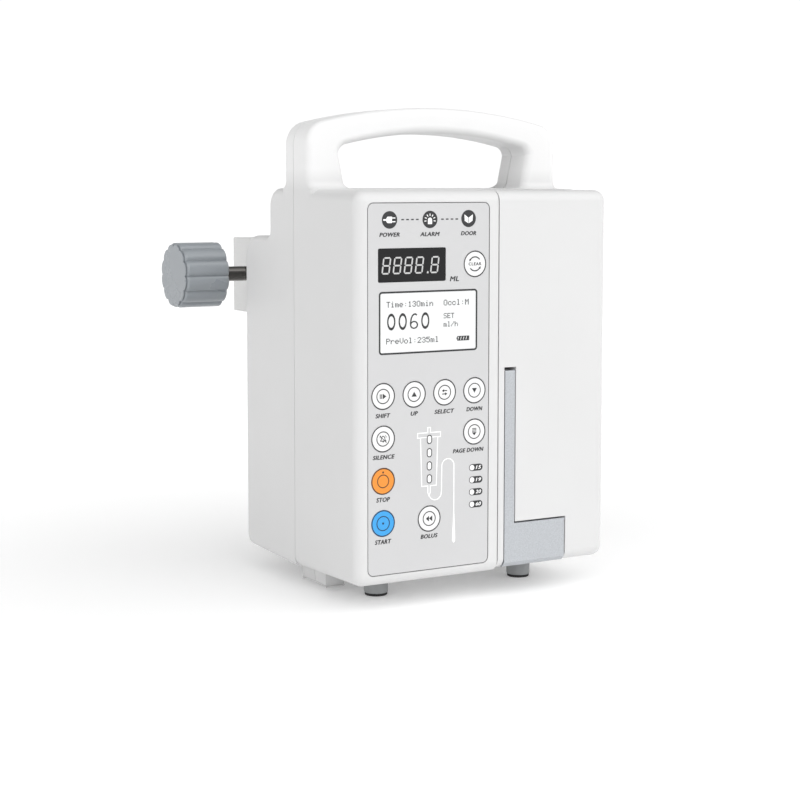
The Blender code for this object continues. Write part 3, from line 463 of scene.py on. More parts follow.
def drafted_block_bm(y0, y1, half, low, top):
    bm = box_bm((-1, y0, -1), (1, y1, 1))
    for v in bm.verts:
        end = 0 if v.co.y < (y0 + y1) / 2 else 1
        v.co.x = math.copysign(half[end], v.co.x)
        v.co.z = top[end] if v.co.z > 0 else low[end]
    return round_edges(bm, EDGE_R, FINE, lambda a, b: min(a.y, b.y) < y1 - 1)


def corner_to_arc(side, apex, arc_r, corner_r):
    """Centre of the corner between a vertical side and a crown, and the crown's half angle."""
    reach = side - corner_r
    angle = math.asin(reach / (arc_r - corner_r))
    return reach, apex - arc_r + (arc_r - corner_r) * math.cos(angle), math.degrees(angle)


def arch_paths(foot_z, corner_steps=12, crown_steps=20, foot_steps=8):
    """Outer points, inner points and flare of the arch's right half, from its foot up."""
    ox, oz, oa = corner_to_arc(PART_HALF, HANDLE_APEX, HANDLE_ARC_R, HANDLE_CORNER_R)
    ix, iz, ia = corner_to_arc(OPENING_HALF_HIGH, OPENING_APEX, OPENING_ARC_R, OPENING_CORNER_R)
    outer = [(PART_HALF, foot_z - 6.0)]
    inner = [(OPENING_HALF_LOW - HANDLE_FOOT_R, foot_z - 6.0)]
    flare = [HANDLE_FOOT_R]
    for i in range(foot_steps + 1):
        a = math.radians(90 * i / foot_steps)
        grow = HANDLE_FOOT_R * (1 - math.sin(a))
        z = foot_z + HANDLE_FOOT_R * (1 - math.cos(a))
        outer.append((PART_HALF, z))
        inner.append((OPENING_HALF_LOW - grow, z))
        flare.append(grow)
    outer += arc(ox, oz, HANDLE_CORNER_R, 0, 90 - oa, corner_steps)
    inner += arc(ix, iz, OPENING_CORNER_R, 8, 90 - ia, corner_steps)
    for i in range(1, crown_steps + 1):
        share = 1 - i / crown_steps
        for path, z, radius, half in ((outer, HANDLE_APEX - HANDLE_ARC_R, HANDLE_ARC_R, oa),
                                      (inner, OPENING_APEX - OPENING_ARC_R, OPENING_ARC_R, ia)):
            a = math.radians(90 - half * share)
            path.append((radius * math.cos(a), z + radius * math.sin(a)))
    flare += [0.0] * (len(outer) - len(flare))
    return outer, inner, flare


def handle_bm(joint_y, face_y, foot_z, narrow):
    """Half of the arch, from its flat joint to its rounded face. narrow is the draft of its sides."""
    outer, inner, flare = arch_paths(foot_z)
    count = len(outer)
    outer += [(-x, z) for x, z in reversed(outer[:-1])]
    inner += [(-x, z) for x, z in reversed(inner[:-1])]
    flare += list(reversed(flare[:count - 1]))
    toward = 1 if face_y > joint_y else -1
    bm = bmesh.new()
    rings = []
    for (ox, oz), (ix, iz), grow in zip(outer, inner, flare):
        start, end = Vector((ox, 0, oz)), Vector((ix, 0, iz))
        inward, length = (end - start).normalized(), (end - start).length
        face = face_y + toward * grow
        near = [(0.0, joint_y)]
        for i in range(FINE + 1):
            a = math.radians(90 * i / FINE)
            near.append((HANDLE_EDGE_R * (1 - math.cos(a)),
                         face - toward * HANDLE_EDGE_R * (1 - math.sin(a))))
        section = near + [(length - t, y) for t, y in reversed(near)]
        ring = []
        for t, y in section:
            point = start + inward * t + Vector((0, y, 0))
            point.x *= 1 - narrow * abs(y - PART_Y)
            ring.append(bm.verts.new(point))
        rings.append(ring)
    for a, b in zip(rings, rings[1:]):
        bridge(bm, a, b)
    bm.faces.new(rings[0])
    bm.faces.new(rings[-1])
    return bm


def bosses(y0, y1, radius, sides=24):
    return [tube_bm(radius, y1 - y0, "y", (sign * BOSS_X, (y0 + y1) / 2, z), sides)
            for sign in (-1, 1) for z in BOSS_Z]


def boss_ribs(y0, y1):
    ribs = []
    for sign in (-1, 1):
        inner, outer = sorted((sign * (BOSS_X + 3.0), sign * (REAR_HALF - 1.0)))
        ribs += [box_bm((inner, y0, z - 1.2), (outer, y1, z + 1.2)) for z in BOSS_Z]
    return ribs


def skid(sign, y0, y1, tapered):
    bm = box_bm((SKID_INNER, y0, SKID_LOW), (SKID_OUTER, y1, PART_LOW + 1.5))
    for v in bm.verts:
        if v.co.z < PART_LOW:
            if v.co.x > (SKID_INNER + SKID_OUTER) / 2:
                v.co.x -= 1.5
            if abs(v.co.y - tapered) < 0.1:
                v.co.y += 1.0 if tapered < PART_Y else -1.0
        v.co.x *= sign
    return round_edges(bm, 0.8, 3, lambda a, b: min(a.z, b.z) < 5 and not (
        abs(a.y - PART_Y) < 0.1 and abs(b.y - PART_Y) < 0.1))


def front_shell():
    body = drafted_block_bm(0.0, PART_Y, (FRONT_HALF, PART_HALF), (FRONT_LOW, PART_LOW),
                            (FRONT_TOP, PART_TOP))
    draft = (PART_HALF - FRONT_HALF) / PART_HALF / PART_Y
    steps = [("UNION", handle_bm(PART_Y, HANDLE_FRONT, PART_TOP - 0.25, draft)),
             ("UNION", gathered([skid(s, SKID_FRONT, PART_Y, SKID_FRONT) for s in (-1, 1)])),
             ("DIFFERENCE", box_bm((-HOLLOW_HALF, BAY_BACK, HOLLOW_LOW),
                                   (HOLLOW_HALF, PART_Y + 2, HOLLOW_TOP))),
             ("DIFFERENCE", box_bm((-FRONT_HOLLOW_HALF, WALL, FRONT_HOLLOW_LOW),
                                   (CASE_EDGE_X - 2.2, BAY_BACK + 2, FRONT_HOLLOW_TOP))),
             ("DIFFERENCE", box_bm((CASE_EDGE_X, -5, 0), (70, BAY_FRONT, 180)))]
    edge = combined(box_bm((FRONT_HALF - 4.5, BAY_FRONT - 5, 0), (70, BAY_FRONT + 4.5, 180)),
                    [("DIFFERENCE", tube_bm(4.5, 200, "z", (PART_HALF - 5.1, BAY_FRONT + 4.5, 90), 64))])
    steps.append(("DIFFERENCE", edge))
    lugs = [tube_bm(KNUCKLE_R, 2 * LUG_HALF, "z", (HINGE_X, HINGE_Y, z), 40) for z in HINGE_Z]
    arms = [box_bm((HINGE_X - 3.2, HINGE_Y, z - LUG_HALF + 0.01),
                   (HINGE_X + 3.0, 24.6, z + LUG_HALF - 0.01)) for z in HINGE_Z]
    steps += [("UNION", gathered(lugs)), ("UNION", gathered(arms)),
              ("UNION", gathered(bosses(32.0, PART_Y, 4.2))),
              ("UNION", gathered(boss_ribs(31.0, PART_Y - 0.5)))]
    recess = prism_bm(rounded_outline(*grown(PANEL, 0.15), PANEL_R + 0.15), "y", -2.0, 0.6)
    steps.append(("DIFFERENCE", recess))
    cuts = [box_bm((LED[0] - 0.3, -1, LED[2] - 0.3), (LED[1] + 0.3, 3.5, LED[3] + 0.3)),
            box_bm((LCD[0] - 0.3, -1, LCD[2] - 0.3), (LCD[1] + 0.3, 3.4, LCD[3] + 0.3))]
    for x, z in KEYS.values():
        cuts.append(tube_bm(KEY_R + 0.3, 4.6, "y", (x, 1.3, z), 32))
    for z in HINGE_Z:
        cuts.append(tube_bm(PIN_R + 0.3, 12, "z", (HINGE_X, HINGE_Y, z), 24))
    cuts.append(box_bm((TUBE_X - 3.6, 20, FINGER_LOW - 1.0), (TUBE_X + 3.6, 28, FINGER_HIGH + 1.0)))
    for low, high in LATCH_SLOTS:
        cuts.append(box_bm((9.9, 20, low), (14.1, 28, high)))
    cuts += bosses(36.0, PART_Y + 2, 1.8)
    steps.append(("DIFFERENCE", gathered(cuts)))
    made = combined(body, steps)
    chamfer_chain(made, CASE_EDGE_X, BAY_FRONT - 0.1)
    piece("case_front_shell", made, M["case"], "case", ["front_housing"])


def chamfer_chain(bm, x, y_end, radius=0.14):
    """Rounds the outer rim of a flat face that lies at one X, as far back as y_end."""
    rim = []
    for e in bm.edges:
        if any(abs(v.co.x - x) > 0.01 or v.co.y > y_end + 0.2 for v in e.verts):
            continue
        middle = (e.verts[0].co + e.verts[1].co) / 2
        if middle.y < y_end and (middle.y < EDGE_R + 0.1 or middle.z < 13 or middle.z > 171.5):
            if len(e.link_faces) == 2 and e.calc_face_angle() > math.radians(50):
                if middle.y < 0.05 or middle.z > FRONT_TOP - EDGE_R or middle.z < DOOR_LOW + EDGE_R:
                    rim.append(e)
    bmesh.ops.bevel(bm, geom=rim, offset=radius, offset_type="OFFSET", segments=3,
                    profile=0.5, affect="EDGES", clamp_overlap=True)


def side_profile(inset=0.0):
    """The rear shell from the side, as (y, z), from its lower joint round the back to its top."""
    back, step = REAR_Y - inset, STEP_Y - inset
    low0, low1 = PART_LOW + inset, REAR_LOW + inset
    top, shelf = PART_TOP - inset, STEP_TOP - inset
    low_r, shelf_r, top_r, inner_r = 5.5 - inset, 10.0 - inset, 8.0 - inset, 3.0 + inset
    points = [(PART_Y, low0)]
    points += arc(back - low_r, low1 + low_r, low_r, -90, 0, 6)
    points += arc(back - shelf_r, shelf - shelf_r, shelf_r, 0, 90, 10)
    points += arc(step + inner_r, shelf + inner_r, inner_r, 270, 180, 6)
    points += arc(step - top_r, top - top_r, top_r, 0, 90, 8)
    points.append((PART_Y, top))
    return points


def rear_block(inset=0.0, rounded=True, start=None):
    half = PART_HALF - inset
    bm = prism_bm(side_profile(inset), "x", -half, half)
    if rounded:
        round_edges(bm, EDGE_R, FINE,
                    lambda a, b: abs(a.x - b.x) < 0.01 and max(a.y, b.y) > PART_Y + 0.01)
    for v in bm.verts:
        v.co.x *= 1 - (PART_HALF - REAR_HALF) / PART_HALF * (v.co.y - PART_Y) / (REAR_Y - PART_Y)
        if start is not None and v.co.y < PART_Y + 0.01:
            v.co.y = start
    return bm


def rear_shell():
    draft = (PART_HALF - REAR_HALF) / PART_HALF / (REAR_Y - PART_Y)
    steps = [("UNION", handle_bm(PART_Y, HANDLE_REAR, PART_TOP, draft)),
             ("UNION", gathered([skid(s, PART_Y, SKID_REAR, SKID_REAR) for s in (-1, 1)])),
             ("DIFFERENCE", rear_block(WALL, False, PART_Y - 2)),
             ("UNION", gathered(bosses(PART_Y + 1.0, REAR_Y - 1.2, 4.2))),
             ("UNION", gathered(boss_ribs(PART_Y + 1.5, REAR_Y - 1.4))),
             ("DIFFERENCE", gathered(bosses(REAR_Y - 8, REAR_Y + 3, 3.3))),
             ("DIFFERENCE", gathered(bosses(PART_Y - 1, REAR_Y + 3, 1.8))),
             ("DIFFERENCE", box_bm((-80, PART_Y - 5, 0), (80, PART_Y + SEAM, 230)))]
    cuts = []
    for i in range(VENT_COUNT):
        z = VENT_LOW + VENT_PITCH * i
        vent = rounded_outline(*VENT_X, z, z + VENT_TALL, VENT_TALL / 2, 6)
        cuts.append(prism_bm(vent, "y", REAR_Y - 6, REAR_Y + 3))
    left, right, low, top = MAINS
    cuts.append(box_bm((left, REAR_Y - 6, low), (right, REAR_Y + 3, top)))
    steps.append(("DIFFERENCE", gathered(cuts)))
    piece("case_rear_shell", combined(rear_block(), steps), M["case"], "case", ["rear_housing"])


# ---- door and lever

def door_shell():
    bm = box_bm((DOOR_LEFT, 0, DOOR_LOW), (FRONT_HALF, DOOR_REAR, FRONT_TOP))

    def rounded(a, b):
        at_right = min(a.x, b.x) > 60
        at_front = max(a.y, b.y) < 1 and a.z == b.z
        return at_right or at_front

    round_edges(bm, EDGE_R, FINE, rounded)
    hollow = box_bm((DOOR_LEFT + 2.2, 2.2, DOOR_LOW + 2.2),
                    (FRONT_HALF - 2.2, DOOR_REAR + 3, FRONT_TOP - 2.2))
    arm_block = box_bm((8.0, 1.0, 30.0), (16.4, 12.2, LEVER_TOP + 3.2))
    foot_block = box_bm((8.0, 1.0, DOOR_LOW + 0.05), (FOOT_RIGHT + 2.2, 14.2, FOOT_TOP + 2.2))
    round_edges(foot_block, EDGE_R, FINE, lambda a, b: max(a.y, b.y) < 1.1 and max(a.z, b.z) < DOOR_LOW + 0.2)
    knuckles = [tube_bm(KNUCKLE_R, 2 * KNUCKLE_HALF, "z", (HINGE_X, HINGE_Y, z), 40) for z in HINGE_Z]
    ribs = [box_bm((HINGE_X, HINGE_Y - 2.5, z - KNUCKLE_HALF + 1),
                   (FRONT_HALF - 1, HINGE_Y + 2.5, z + KNUCKLE_HALF - 1)) for z in HINGE_Z]
    arm = box_bm((LEVER_LEFT - 0.6, -3.0, 26.0), (LEVER_RIGHT + 0.35, 10.7, LEVER_TOP + 1.4))
    foot = box_bm((LEVER_LEFT - 0.6, -3.0, 5.0), (FOOT_RIGHT + 0.45, 12.7, FOOT_TOP + 0.8))
    notches = [box_bm((HINGE_X - 4.9, 10.0, z - LUG_HALF - 0.4), (70, 30, z + LUG_HALF + 0.4))
               for z in HINGE_Z]
    bores = [tube_bm(PIN_R + 0.3, 21.0, "z", (HINGE_X, HINGE_Y, z), 24) for z in HINGE_Z]
    others = [box_bm((TUBE_X - 3, 16.7, 5), (TUBE_X + 3, 30, 180)),
              tube_bm(1.5, 7.7, "x", (11.95, LEVER_Y, LEVER_Z), 24),
              box_bm((10.5, 9.0, 80.5), (13.4, 13.0, 94.0))]
    made = combined(bm, [
        ("DIFFERENCE", hollow), ("UNION", arm_block), ("UNION", foot_block),
        ("UNION", gathered(knuckles)), ("UNION", gathered(ribs)), ("DIFFERENCE", arm),
        ("DIFFERENCE", foot), ("DIFFERENCE", gathered(notches)), ("DIFFERENCE", gathered(bores)),
        ("DIFFERENCE", gathered(others))])
    chamfer_chain(made, DOOR_LEFT, DOOR_REAR - 0.1)
    piece("door_cover", made, M["case"], "door", ["door_shell"])


def lever():
    low = DOOR_LOW + 0.2
    outline = [(LEVER_LEFT, low), (FOOT_RIGHT, low), (FOOT_RIGHT, FOOT_TOP), (LEVER_RIGHT, FOOT_TOP),
               (LEVER_RIGHT, LEVER_TOP), (LEVER_LEFT, LEVER_TOP)]
    bm = prism_bm(outline, "y", 0.2, 6.0)
    round_edges(bm, 2.0, 1, lambda a, b: max(a.y, b.y) < 1 and max(a.z, b.z) < 13)
    round_edges(bm, 0.7, 4, lambda a, b: max(a.y, b.y) < 0.3 and min(a.z, b.z) > LEVER_TOP - 0.1)
    round_edges(bm, 0.22, 3, lambda a, b: max(a.y, b.y) < 0.3 and max(a.z, b.z) < LEVER_TOP - 0.1
                and min(a.x, b.x) > LEVER_LEFT + 0.1)
    tail = box_bm((11.0, 3.0, LEVER_Z - 1.3), (12.9, 14.0, LEVER_Z + 1.3))
    grip = box_bm((LEVER_LEFT + 0.02, 5.0, DOOR_LOW + 2.2), (FOOT_RIGHT - 0.02, 8.0, FOOT_TOP - 0.02))
    bore = tube_bm(1.45, 9, "x", (11.95, LEVER_Y, LEVER_Z), 24)
    made = combined(bm, [("UNION", tail), ("UNION", grip), ("DIFFERENCE", bore)])
    piece("lever_cover", made, M["silver"], "lever", ["latch_lever"])


# ---- panel, keys and print

def film():
    sheet = prism_bm(rounded_outline(*PANEL, PANEL_R), "y", FILM_FRONT, FILM_BACK)
    holes = [prism_bm(rounded_outline(*grown(LED, 0.06), 0.7), "y", -1, 2),
             prism_bm(rounded_outline(*grown(LCD, 0.06), 1.0), "y", -1, 2)]
    holes += [tube_bm(KEY_R + 0.08, 3, "y", (x, 0.5, z), 48) for x, z in KEYS.values()]
    piece("panel_film", combined(sheet, [("DIFFERENCE", gathered(holes))]), M["film"], "case",
          ["keypad_overlay"])


def flat_bm(outline, front, back):
    return prism_bm(outline, "y", front, back)


def ring_bm(x, z, radius, width, front, back, sides=48, squash=1.0):
    """A printed ring."""
    bm = bmesh.new()
    loops = []
    for r in (radius - width / 2, radius + width / 2):
        for y in (front, back):
            loops.append([bm.verts.new((x + r * math.cos(2 * math.pi * i / sides), y,
                                        z + squash * r * math.sin(2 * math.pi * i / sides)))
                          for i in range(sides)])
    inner_f, inner_b, outer_f, outer_b = loops
    for a, b in ((inner_f, outer_f), (outer_f, outer_b), (outer_b, inner_b), (inner_b, inner_f)):
        bridge(bm, a, b)
    return bm


def disc_points(x, z, radius, sides=32):
    return [(x + radius * math.cos(2 * math.pi * i / sides),
             z + radius * math.sin(2 * math.pi * i / sides)) for i in range(sides)]


def ribbon_bm(points, widths, front, back, closed=False):
    """A line of changing width as one mitred strip."""
    count = len(points)
    left, right = [], []
    for i, (x, z) in enumerate(points):
        before = points[i - 1] if i or closed else points[i]
        after = points[(i + 1) % count] if i < count - 1 or closed else points[i]
        d0 = Vector((x - before[0], z - before[1]))
        d1 = Vector((after[0] - x, after[1] - z))
        d0 = d0.normalized() if d0.length > 1e-9 else d1.normalized()
        d1 = d1.normalized() if d1.length > 1e-9 else d0
        middle = (d0 + d1).normalized()
        scale = 1 / max(0.5, middle.dot(d1))
        half = (widths[i] if isinstance(widths, (list, tuple)) else widths) / 2 * scale
        nx, nz = -middle.y * half, middle.x * half
        left.append((x + nx, z + nz))
        right.append((x - nx, z - nz))
    bm = bmesh.new()
    rows = [[bm.verts.new((px, y, pz)) for px, pz in side]
            for side in (left, right) for y in (front, back)]
    lf, lb, rf, rb = rows
    for a, b in ((lf, rf), (rf, rb), (rb, lb), (lb, lf)):
        bridge(bm, a, b, count if closed else count - 1)
    if not closed:
        bm.faces.new((lf[0], lb[0], rb[0], rf[0]))
        bm.faces.new((lf[-1], rf[-1], rb[-1], lb[-1]))
    return bm


BOLD_SHIFTS = ((0, 0), (-1, 0), (1, 0), (0, -0.6), (0, 0.6))
BOLD_STEP = 0.0015            # how far each copy lies behind the one before, so that no two faces meet


def text_bm(words, x, z, width, height, front, back, bold, slant=0.22, spacing=1.08):
    """Words fitted to a box centred on (x, z), thickened by shifted copies up to bold each side."""
    curve = bpy.data.curves.new("words", "FONT")
    curve.body = words
    curve.size = 1.0
    curve.shear = slant
    curve.space_character = spacing
    curve.resolution_u = 3
    obj = linked("words", curve)
    bpy.context.view_layer.update()
    graph = bpy.context.evaluated_depsgraph_get()
    mesh = bpy.data.meshes.new_from_object(obj.evaluated_get(graph), depsgraph=graph)
    bpy.data.objects.remove(obj, do_unlink=True)
    bpy.data.curves.remove(curve)
    copies = []
    for i, (dx, dz) in enumerate(BOLD_SHIFTS):
        bm = bmesh.new()
        bm.from_mesh(mesh)
        bmesh.ops.remove_doubles(bm, verts=bm.verts, dist=1e-5)
        xs = [v.co.x for v in bm.verts]
        ys = [v.co.y for v in bm.verts]
        sx = (width - 2 * bold) / (max(xs) - min(xs))
        sz = (height - 1.2 * bold) / (max(ys) - min(ys))
        mx, my = (max(xs) + min(xs)) / 2, (max(ys) + min(ys)) / 2
        ahead = front + BOLD_STEP * i
        for v in bm.verts:
            v.co = Vector((x + (v.co.x - mx) * sx + dx * bold, ahead,
                           z + (v.co.y - my) * sz + dz * bold))
        made = bmesh.ops.extrude_face_region(bm, geom=list(bm.faces))
        moved = [v for v in made["geom"] if isinstance(v, bmesh.types.BMVert)]
        bmesh.ops.translate(bm, vec=(0, back - ahead, 0), verts=moved)
        copies.append(bm)
    bpy.data.meshes.remove(mesh)
    return gathered(copies)


INK_FRONT, INK_BACK = FILM_FRONT - 0.035, FILM_FRONT + 0.02
WHITE_FRONT = FILM_FRONT - 0.02
LABEL_BOLD, NUMBER_BOLD = 0.12, 0.07

# Words, centre and size of the box that they fill
LABELS = (
    ("POWER", -46.9, 154.65, 9.5, 1.75), ("ALARM", -27.9, 154.65, 9.4, 1.75), ("DOOR", -9.3, 154.75, 7.5, 1.75),
    ("ML", -16.1, 136.1, 4.5, 2.1),
    ("SHIFT", -50.0, 81.3, 7.0, 1.8), ("UP", -35.2, 81.3, 3.5, 1.8), ("SELECT", -20.75, 81.3, 9.7, 1.8),
    ("DOWN", -6.05, 81.4, 8.0, 1.8), ("SILENCE", -49.6, 64.3, 10.3, 1.8), ("PAGE DOWN", -9.0, 64.2, 15.2, 1.8),
    ("STOP", -49.9, 46.8, 6.5, 1.9), ("START", -49.9, 29.4, 7.8, 1.9), ("BOLUS", -28.0, 29.65, 8.3, 1.8),
)
STATUS = ((-46.9, 160.6), (-27.9, 160.6), (-9.3, 160.8))
STATUS_R = 3.55
DASH_STARTS, DASH_PITCH, DASH_HALF = (-40.8, -21.95), 2.3, 0.62
CHAMBER_X, CHAMBER_Z = -27.93, (70.05, 64.5, 59.0, 53.6)
BAR_LEFT, BAR_RIGHT, BAR_R, BAR_Z = -7.1, -3.3, 1.45, (56.6, 51.4, 46.25, 41.05)


def window_outline(z, radius):
    """One of the upright windows down the drip chamber."""
    return (arc(CHAMBER_X, z + 0.65, radius, 0, 180, 12)
            + arc(CHAMBER_X, z - 0.65, radius, 180, 360, 12))


def panel_print():
    """Everything printed dark on the film."""
    marks = [text_bm(*label, INK_FRONT, INK_BACK, LABEL_BOLD) for label in LABELS]
    for x, z in STATUS:
        marks.append(flat_bm(disc_points(x, z, STATUS_R, 48), INK_FRONT, INK_BACK))
    for start in DASH_STARTS:
        for i in range(4):
            x = start + DASH_PITCH * i
            marks.append(flat_bm(rect(x - DASH_HALF, x + DASH_HALF, 160.4, 160.92), INK_FRONT, INK_BACK))
    for z in CHAMBER_Z:
        marks.append(ribbon_bm(window_outline(z, 1.05), 0.42, INK_FRONT, INK_BACK, closed=True))
    for z in BAR_Z:
        outline = arc(BAR_RIGHT, z, BAR_R, -90, 90, 12) + arc(BAR_LEFT, z, BAR_R, 90, 270, 12)
        marks.append(flat_bm(outline, INK_FRONT, INK_BACK))
    border = rounded_outline(*grown(LCD, 0.2), 1.1)
    marks.append(ribbon_bm(border, 0.72, INK_FRONT, INK_BACK, closed=True))
    edge = rounded_outline(*grown(PANEL, -0.12), PANEL_R - 0.12)
    marks.append(ribbon_bm(edge, 0.17, INK_FRONT, INK_BACK, closed=True))
    piece("panel_print_dark", gathered(marks), M["ink"], "case", smooth=0)


def panel_print_white():
    """The drip chamber, its tube and the knocked out parts of the dark marks."""
    on_film = []
    line = 0.42
    chamber = [(-28.75, 75.0), (-28.75, 72.9), (-33.6, 72.9), (-33.6, 70.9), (-32.2, 70.9), (-31.6, 50.7),
               (-28.65, 50.7), (-28.65, 47.9), (-28.1, 46.4), (-27.5, 47.9), (-27.5, 50.7), (-24.55, 50.7),
               (-23.95, 70.9), (-22.6, 70.9), (-22.6, 72.9), (-27.45, 72.9), (-27.45, 75.0)]
    on_film.append(ribbon_bm(chamber, line, WHITE_FRONT, INK_BACK, closed=True))
    on_film.append(ribbon_bm([(-32.2, 70.95), (-23.95, 70.95)], line * 0.8, WHITE_FRONT - 0.003, INK_BACK))
    tube = [(-28.1, 46.5)] + arc(-25.1, 47.6, 3.0, 200, 340, 14)[1:] + [(-22.05, 48.5), (-21.9, 58.3)]
    tube += arc(-18.95, 58.4, 2.97, 172, 8, 16) + [(-16.0, 57.8), (-16.02, 37.5)]
    on_film.append(ribbon_bm(tube, line, WHITE_FRONT - 0.004, INK_BACK))
    drop = [(-16.03, 39.0), (-16.03, 37.0), (-16.04, 33.0), (-16.05, 29.0), (-16.05, 27.6), (-16.05, 26.4),
            (-16.05, 25.7)]
    on_film.append(ribbon_bm(drop, [0.4, 0.62, 0.95, 1.45, 1.55, 1.3, 0.5], WHITE_FRONT - 0.005, INK_BACK))
    for z in CHAMBER_Z:
        on_film.append(flat_bm(window_outline(z, 0.86), WHITE_FRONT, INK_BACK))
    front, back = INK_FRONT - 0.02, INK_FRONT + 0.01
    for z, number in zip(BAR_Z, ("15", "19", "20", "60")):
        on_film.append(flat_bm(disc_points(BAR_LEFT, z, 1.12, 24), front, back))
        on_film.append(text_bm(number, -3.9, z, 2.7, 1.5, front, back, NUMBER_BOLD))
    on_film += status_icons(front, back)
    piece("panel_print_white", gathered(on_film), M["ink_white"], "case", smooth=0)


def status_icons(front, back):
    marks = []
    x, z = STATUS[0]
    plug = [(-1.5, -0.75), (-0.9, -1.3), (1.1, -1.3), (1.1, 1.3), (-0.9, 1.3), (-1.5, 0.75)]
    marks.append(flat_bm([(x + a, z + b) for a, b in plug], front, back))
    marks.append(flat_bm(rect(x - 2.9, x - 1.45, z - 0.3, z + 0.3), front, back))
    for dz in (-0.75, 0.75):
        marks.append(flat_bm(rect(x + 1.05, x + 2.7, z + dz - 0.2, z + dz + 0.2), front, back))
    x, z = STATUS[1]
    lamp = [(x - 1.0, z - 1.9), (x + 1.0, z - 1.9), (x + 1.0, z - 0.2)] + \
        arc(x, z - 0.25, 1.0, 30, 150, 8) + [(x - 1.0, z - 0.2)]
    marks.append(flat_bm(lamp, front, back))
    for i in range(7):
        a = math.radians(-8 + 196 * i / 6)
        c, s = math.cos(a), math.sin(a)
        marks.append(ribbon_bm([(x + 1.75 * c, z - 0.3 + 1.75 * s), (x + 2.7 * c, z - 0.3 + 2.7 * s)],
                               0.36, front, back))
    x, z = STATUS[2]
    for side in (-1, 1):
        leaf = [(0.12, -1.9), (1.9, -0.9), (2.05, 1.75), (0.12, 0.35)]
        marks.append(flat_bm([(x + side * a, z + b) for a, b in leaf], front, back))
    return marks


KEY_RING_R, KEY_RING_WIDTH, INNER_RING_WIDTH = 5.24, 0.44, 0.4


def key_marks(name, x, z):
    """The rings and the symbol printed on one key."""
    front, back = KEY_FRONT - 0.03, KEY_FRONT + 0.05
    inner = 2.6 if name == "stop" else 2.92
    marks = [ring_bm(x, z, KEY_RING_R, KEY_RING_WIDTH, front, back)]
    if name != "clear":
        marks.append(ring_bm(x, z, inner, INNER_RING_WIDTH, front, back))

    def shape(points):
        marks.append(flat_bm([(x + a, z + b) for a, b in points], front, back))

    def line(points, width=0.24):
        marks.append(ribbon_bm([(x + a, z + b) for a, b in points], width, front, back))

    if name == "shift":
        shape([(-0.2, -1.15), (1.5, 0.0), (-0.2, 1.15)])
        line([(-1.35, -0.95), (-1.35, 0.95)], 0.36)
        line([(-0.72, -0.95), (-0.72, 0.95)], 0.36)
    elif name == "up":
        shape([(-1.25, -0.95), (1.25, -0.95), (0.0, 1.1)])
    elif name == "down":
        shape([(-1.2, 0.95), (0.0, -1.05), (1.2, 0.95)])
    elif name == "select":
        for sign in (-1, 1):
            level = -sign * 0.68
            line([(sign * 0.4, level), (-sign * 1.2, level)], 0.4)
            shape([(sign * 1.35, level), (sign * 0.25, level + 0.64), (sign * 0.25, level - 0.64)])
    elif name == "silence":
        bell = [(-1.35, -0.85), (-0.85, -0.3), (-0.75, 0.55), (-0.3, 1.1), (0.3, 1.1),
                (0.75, 0.55), (0.85, -0.3), (1.35, -0.85), (-1.35, -0.85)]
        line(bell, 0.34)
        shape([(-0.35, -1.0), (0.35, -1.0), (0.2, -1.4), (-0.2, -1.4)])
        line([(-1.6, 1.4), (1.6, -1.6)], 0.26)
        line([(-1.5, 0.55), (-1.1, 1.45)], 0.26)
        line([(1.5, 0.55), (1.1, 1.45)], 0.26)
    elif name == "page_down":
        for dz in (1.3, 0.72, 0.14):
            line([(-1.05, dz), (1.05, dz)], 0.32)
        shape([(-1.15, -0.3), (0.0, -1.6), (1.15, -0.3)])
    elif name == "stop":
        marks.append(flat_bm(disc_points(x, z + 3.65, 0.42, 16), front, back))
    elif name == "start":
        marks.append(flat_bm(disc_points(x, z, 0.46, 16), front, back))
    elif name == "bolus":
        for dx in (-1.6, -0.05):
            shape([(dx, 0.0), (dx + 1.5, -1.2), (dx + 1.5, 1.2)])
    elif name == "clear":
        marks.append(text_bm("CLEAR", x, z, 6.3, 1.3, front, back, NUMBER_BOLD, slant=0.0,
                             spacing=1.2))
        for turn in (0, 180):
            points = arc(0, 0, 2.9, 38 + turn, 142 + turn, 14)
            line(points, 0.5)
            tip = math.radians(150 + turn)
            c, s = math.cos(tip), math.sin(tip)
            marks.append(flat_bm([(x + 2.35 * c + 0.5 * s, z + 2.35 * s - 0.5 * c),
                                  (x + 3.45 * c + 0.5 * s, z + 3.45 * s - 0.5 * c),
                                  (x + 2.9 * c - 0.5 * s, z + 2.9 * s + 0.5 * c)], front, back))
    return marks


def keys():
    inks = {"stop": "ink_brown", "start": "ink_navy"}
    colours = {"stop": "key_orange", "start": "key_blue"}
    for name, (x, z) in KEYS.items():
        colour = colours.get(name, "key_white")
        r = KEY_R
        profile = [(0, KEY_FRONT), (r - 0.12, KEY_FRONT), (r - 0.03, KEY_FRONT + 0.04),
                   (r, KEY_FRONT + 0.14), (r, 1.45), (2.0, 1.45), (2.0, 6.2), (0, 6.2)]
        cap = lathe_bm(profile, "y", (x, 0, z), 64)
        piece("key_cap_" + name, cap, M[colour], name + "_button", ["key_" + name], 40)
        piece("key_print_" + name, gathered(key_marks(name, x, z)), M[inks.get(name, "ink")],
              name + "_button", smooth=0)


# ---- displays

def segment_outline(x0, z0, x1, z1, width, shrink):
    """A pointed bar between two points."""
    d = Vector((x1 - x0, z1 - z0))
    length = d.length
    d.normalize()
    n = Vector((-d.y, d.x))
    h = width / 2
    local = [(shrink, 0), (shrink + h, h), (length - shrink - h, h), (length - shrink, 0),
             (length - shrink - h, -h), (shrink + h, -h)]
    return [(x0 + d.x * a + n.x * b, z0 + d.y * a + n.y * b) for a, b in local]


DIGIT_X = (-48.35, -43.2, -38.05, -32.85, -25.55)
POINT_X = -28.9


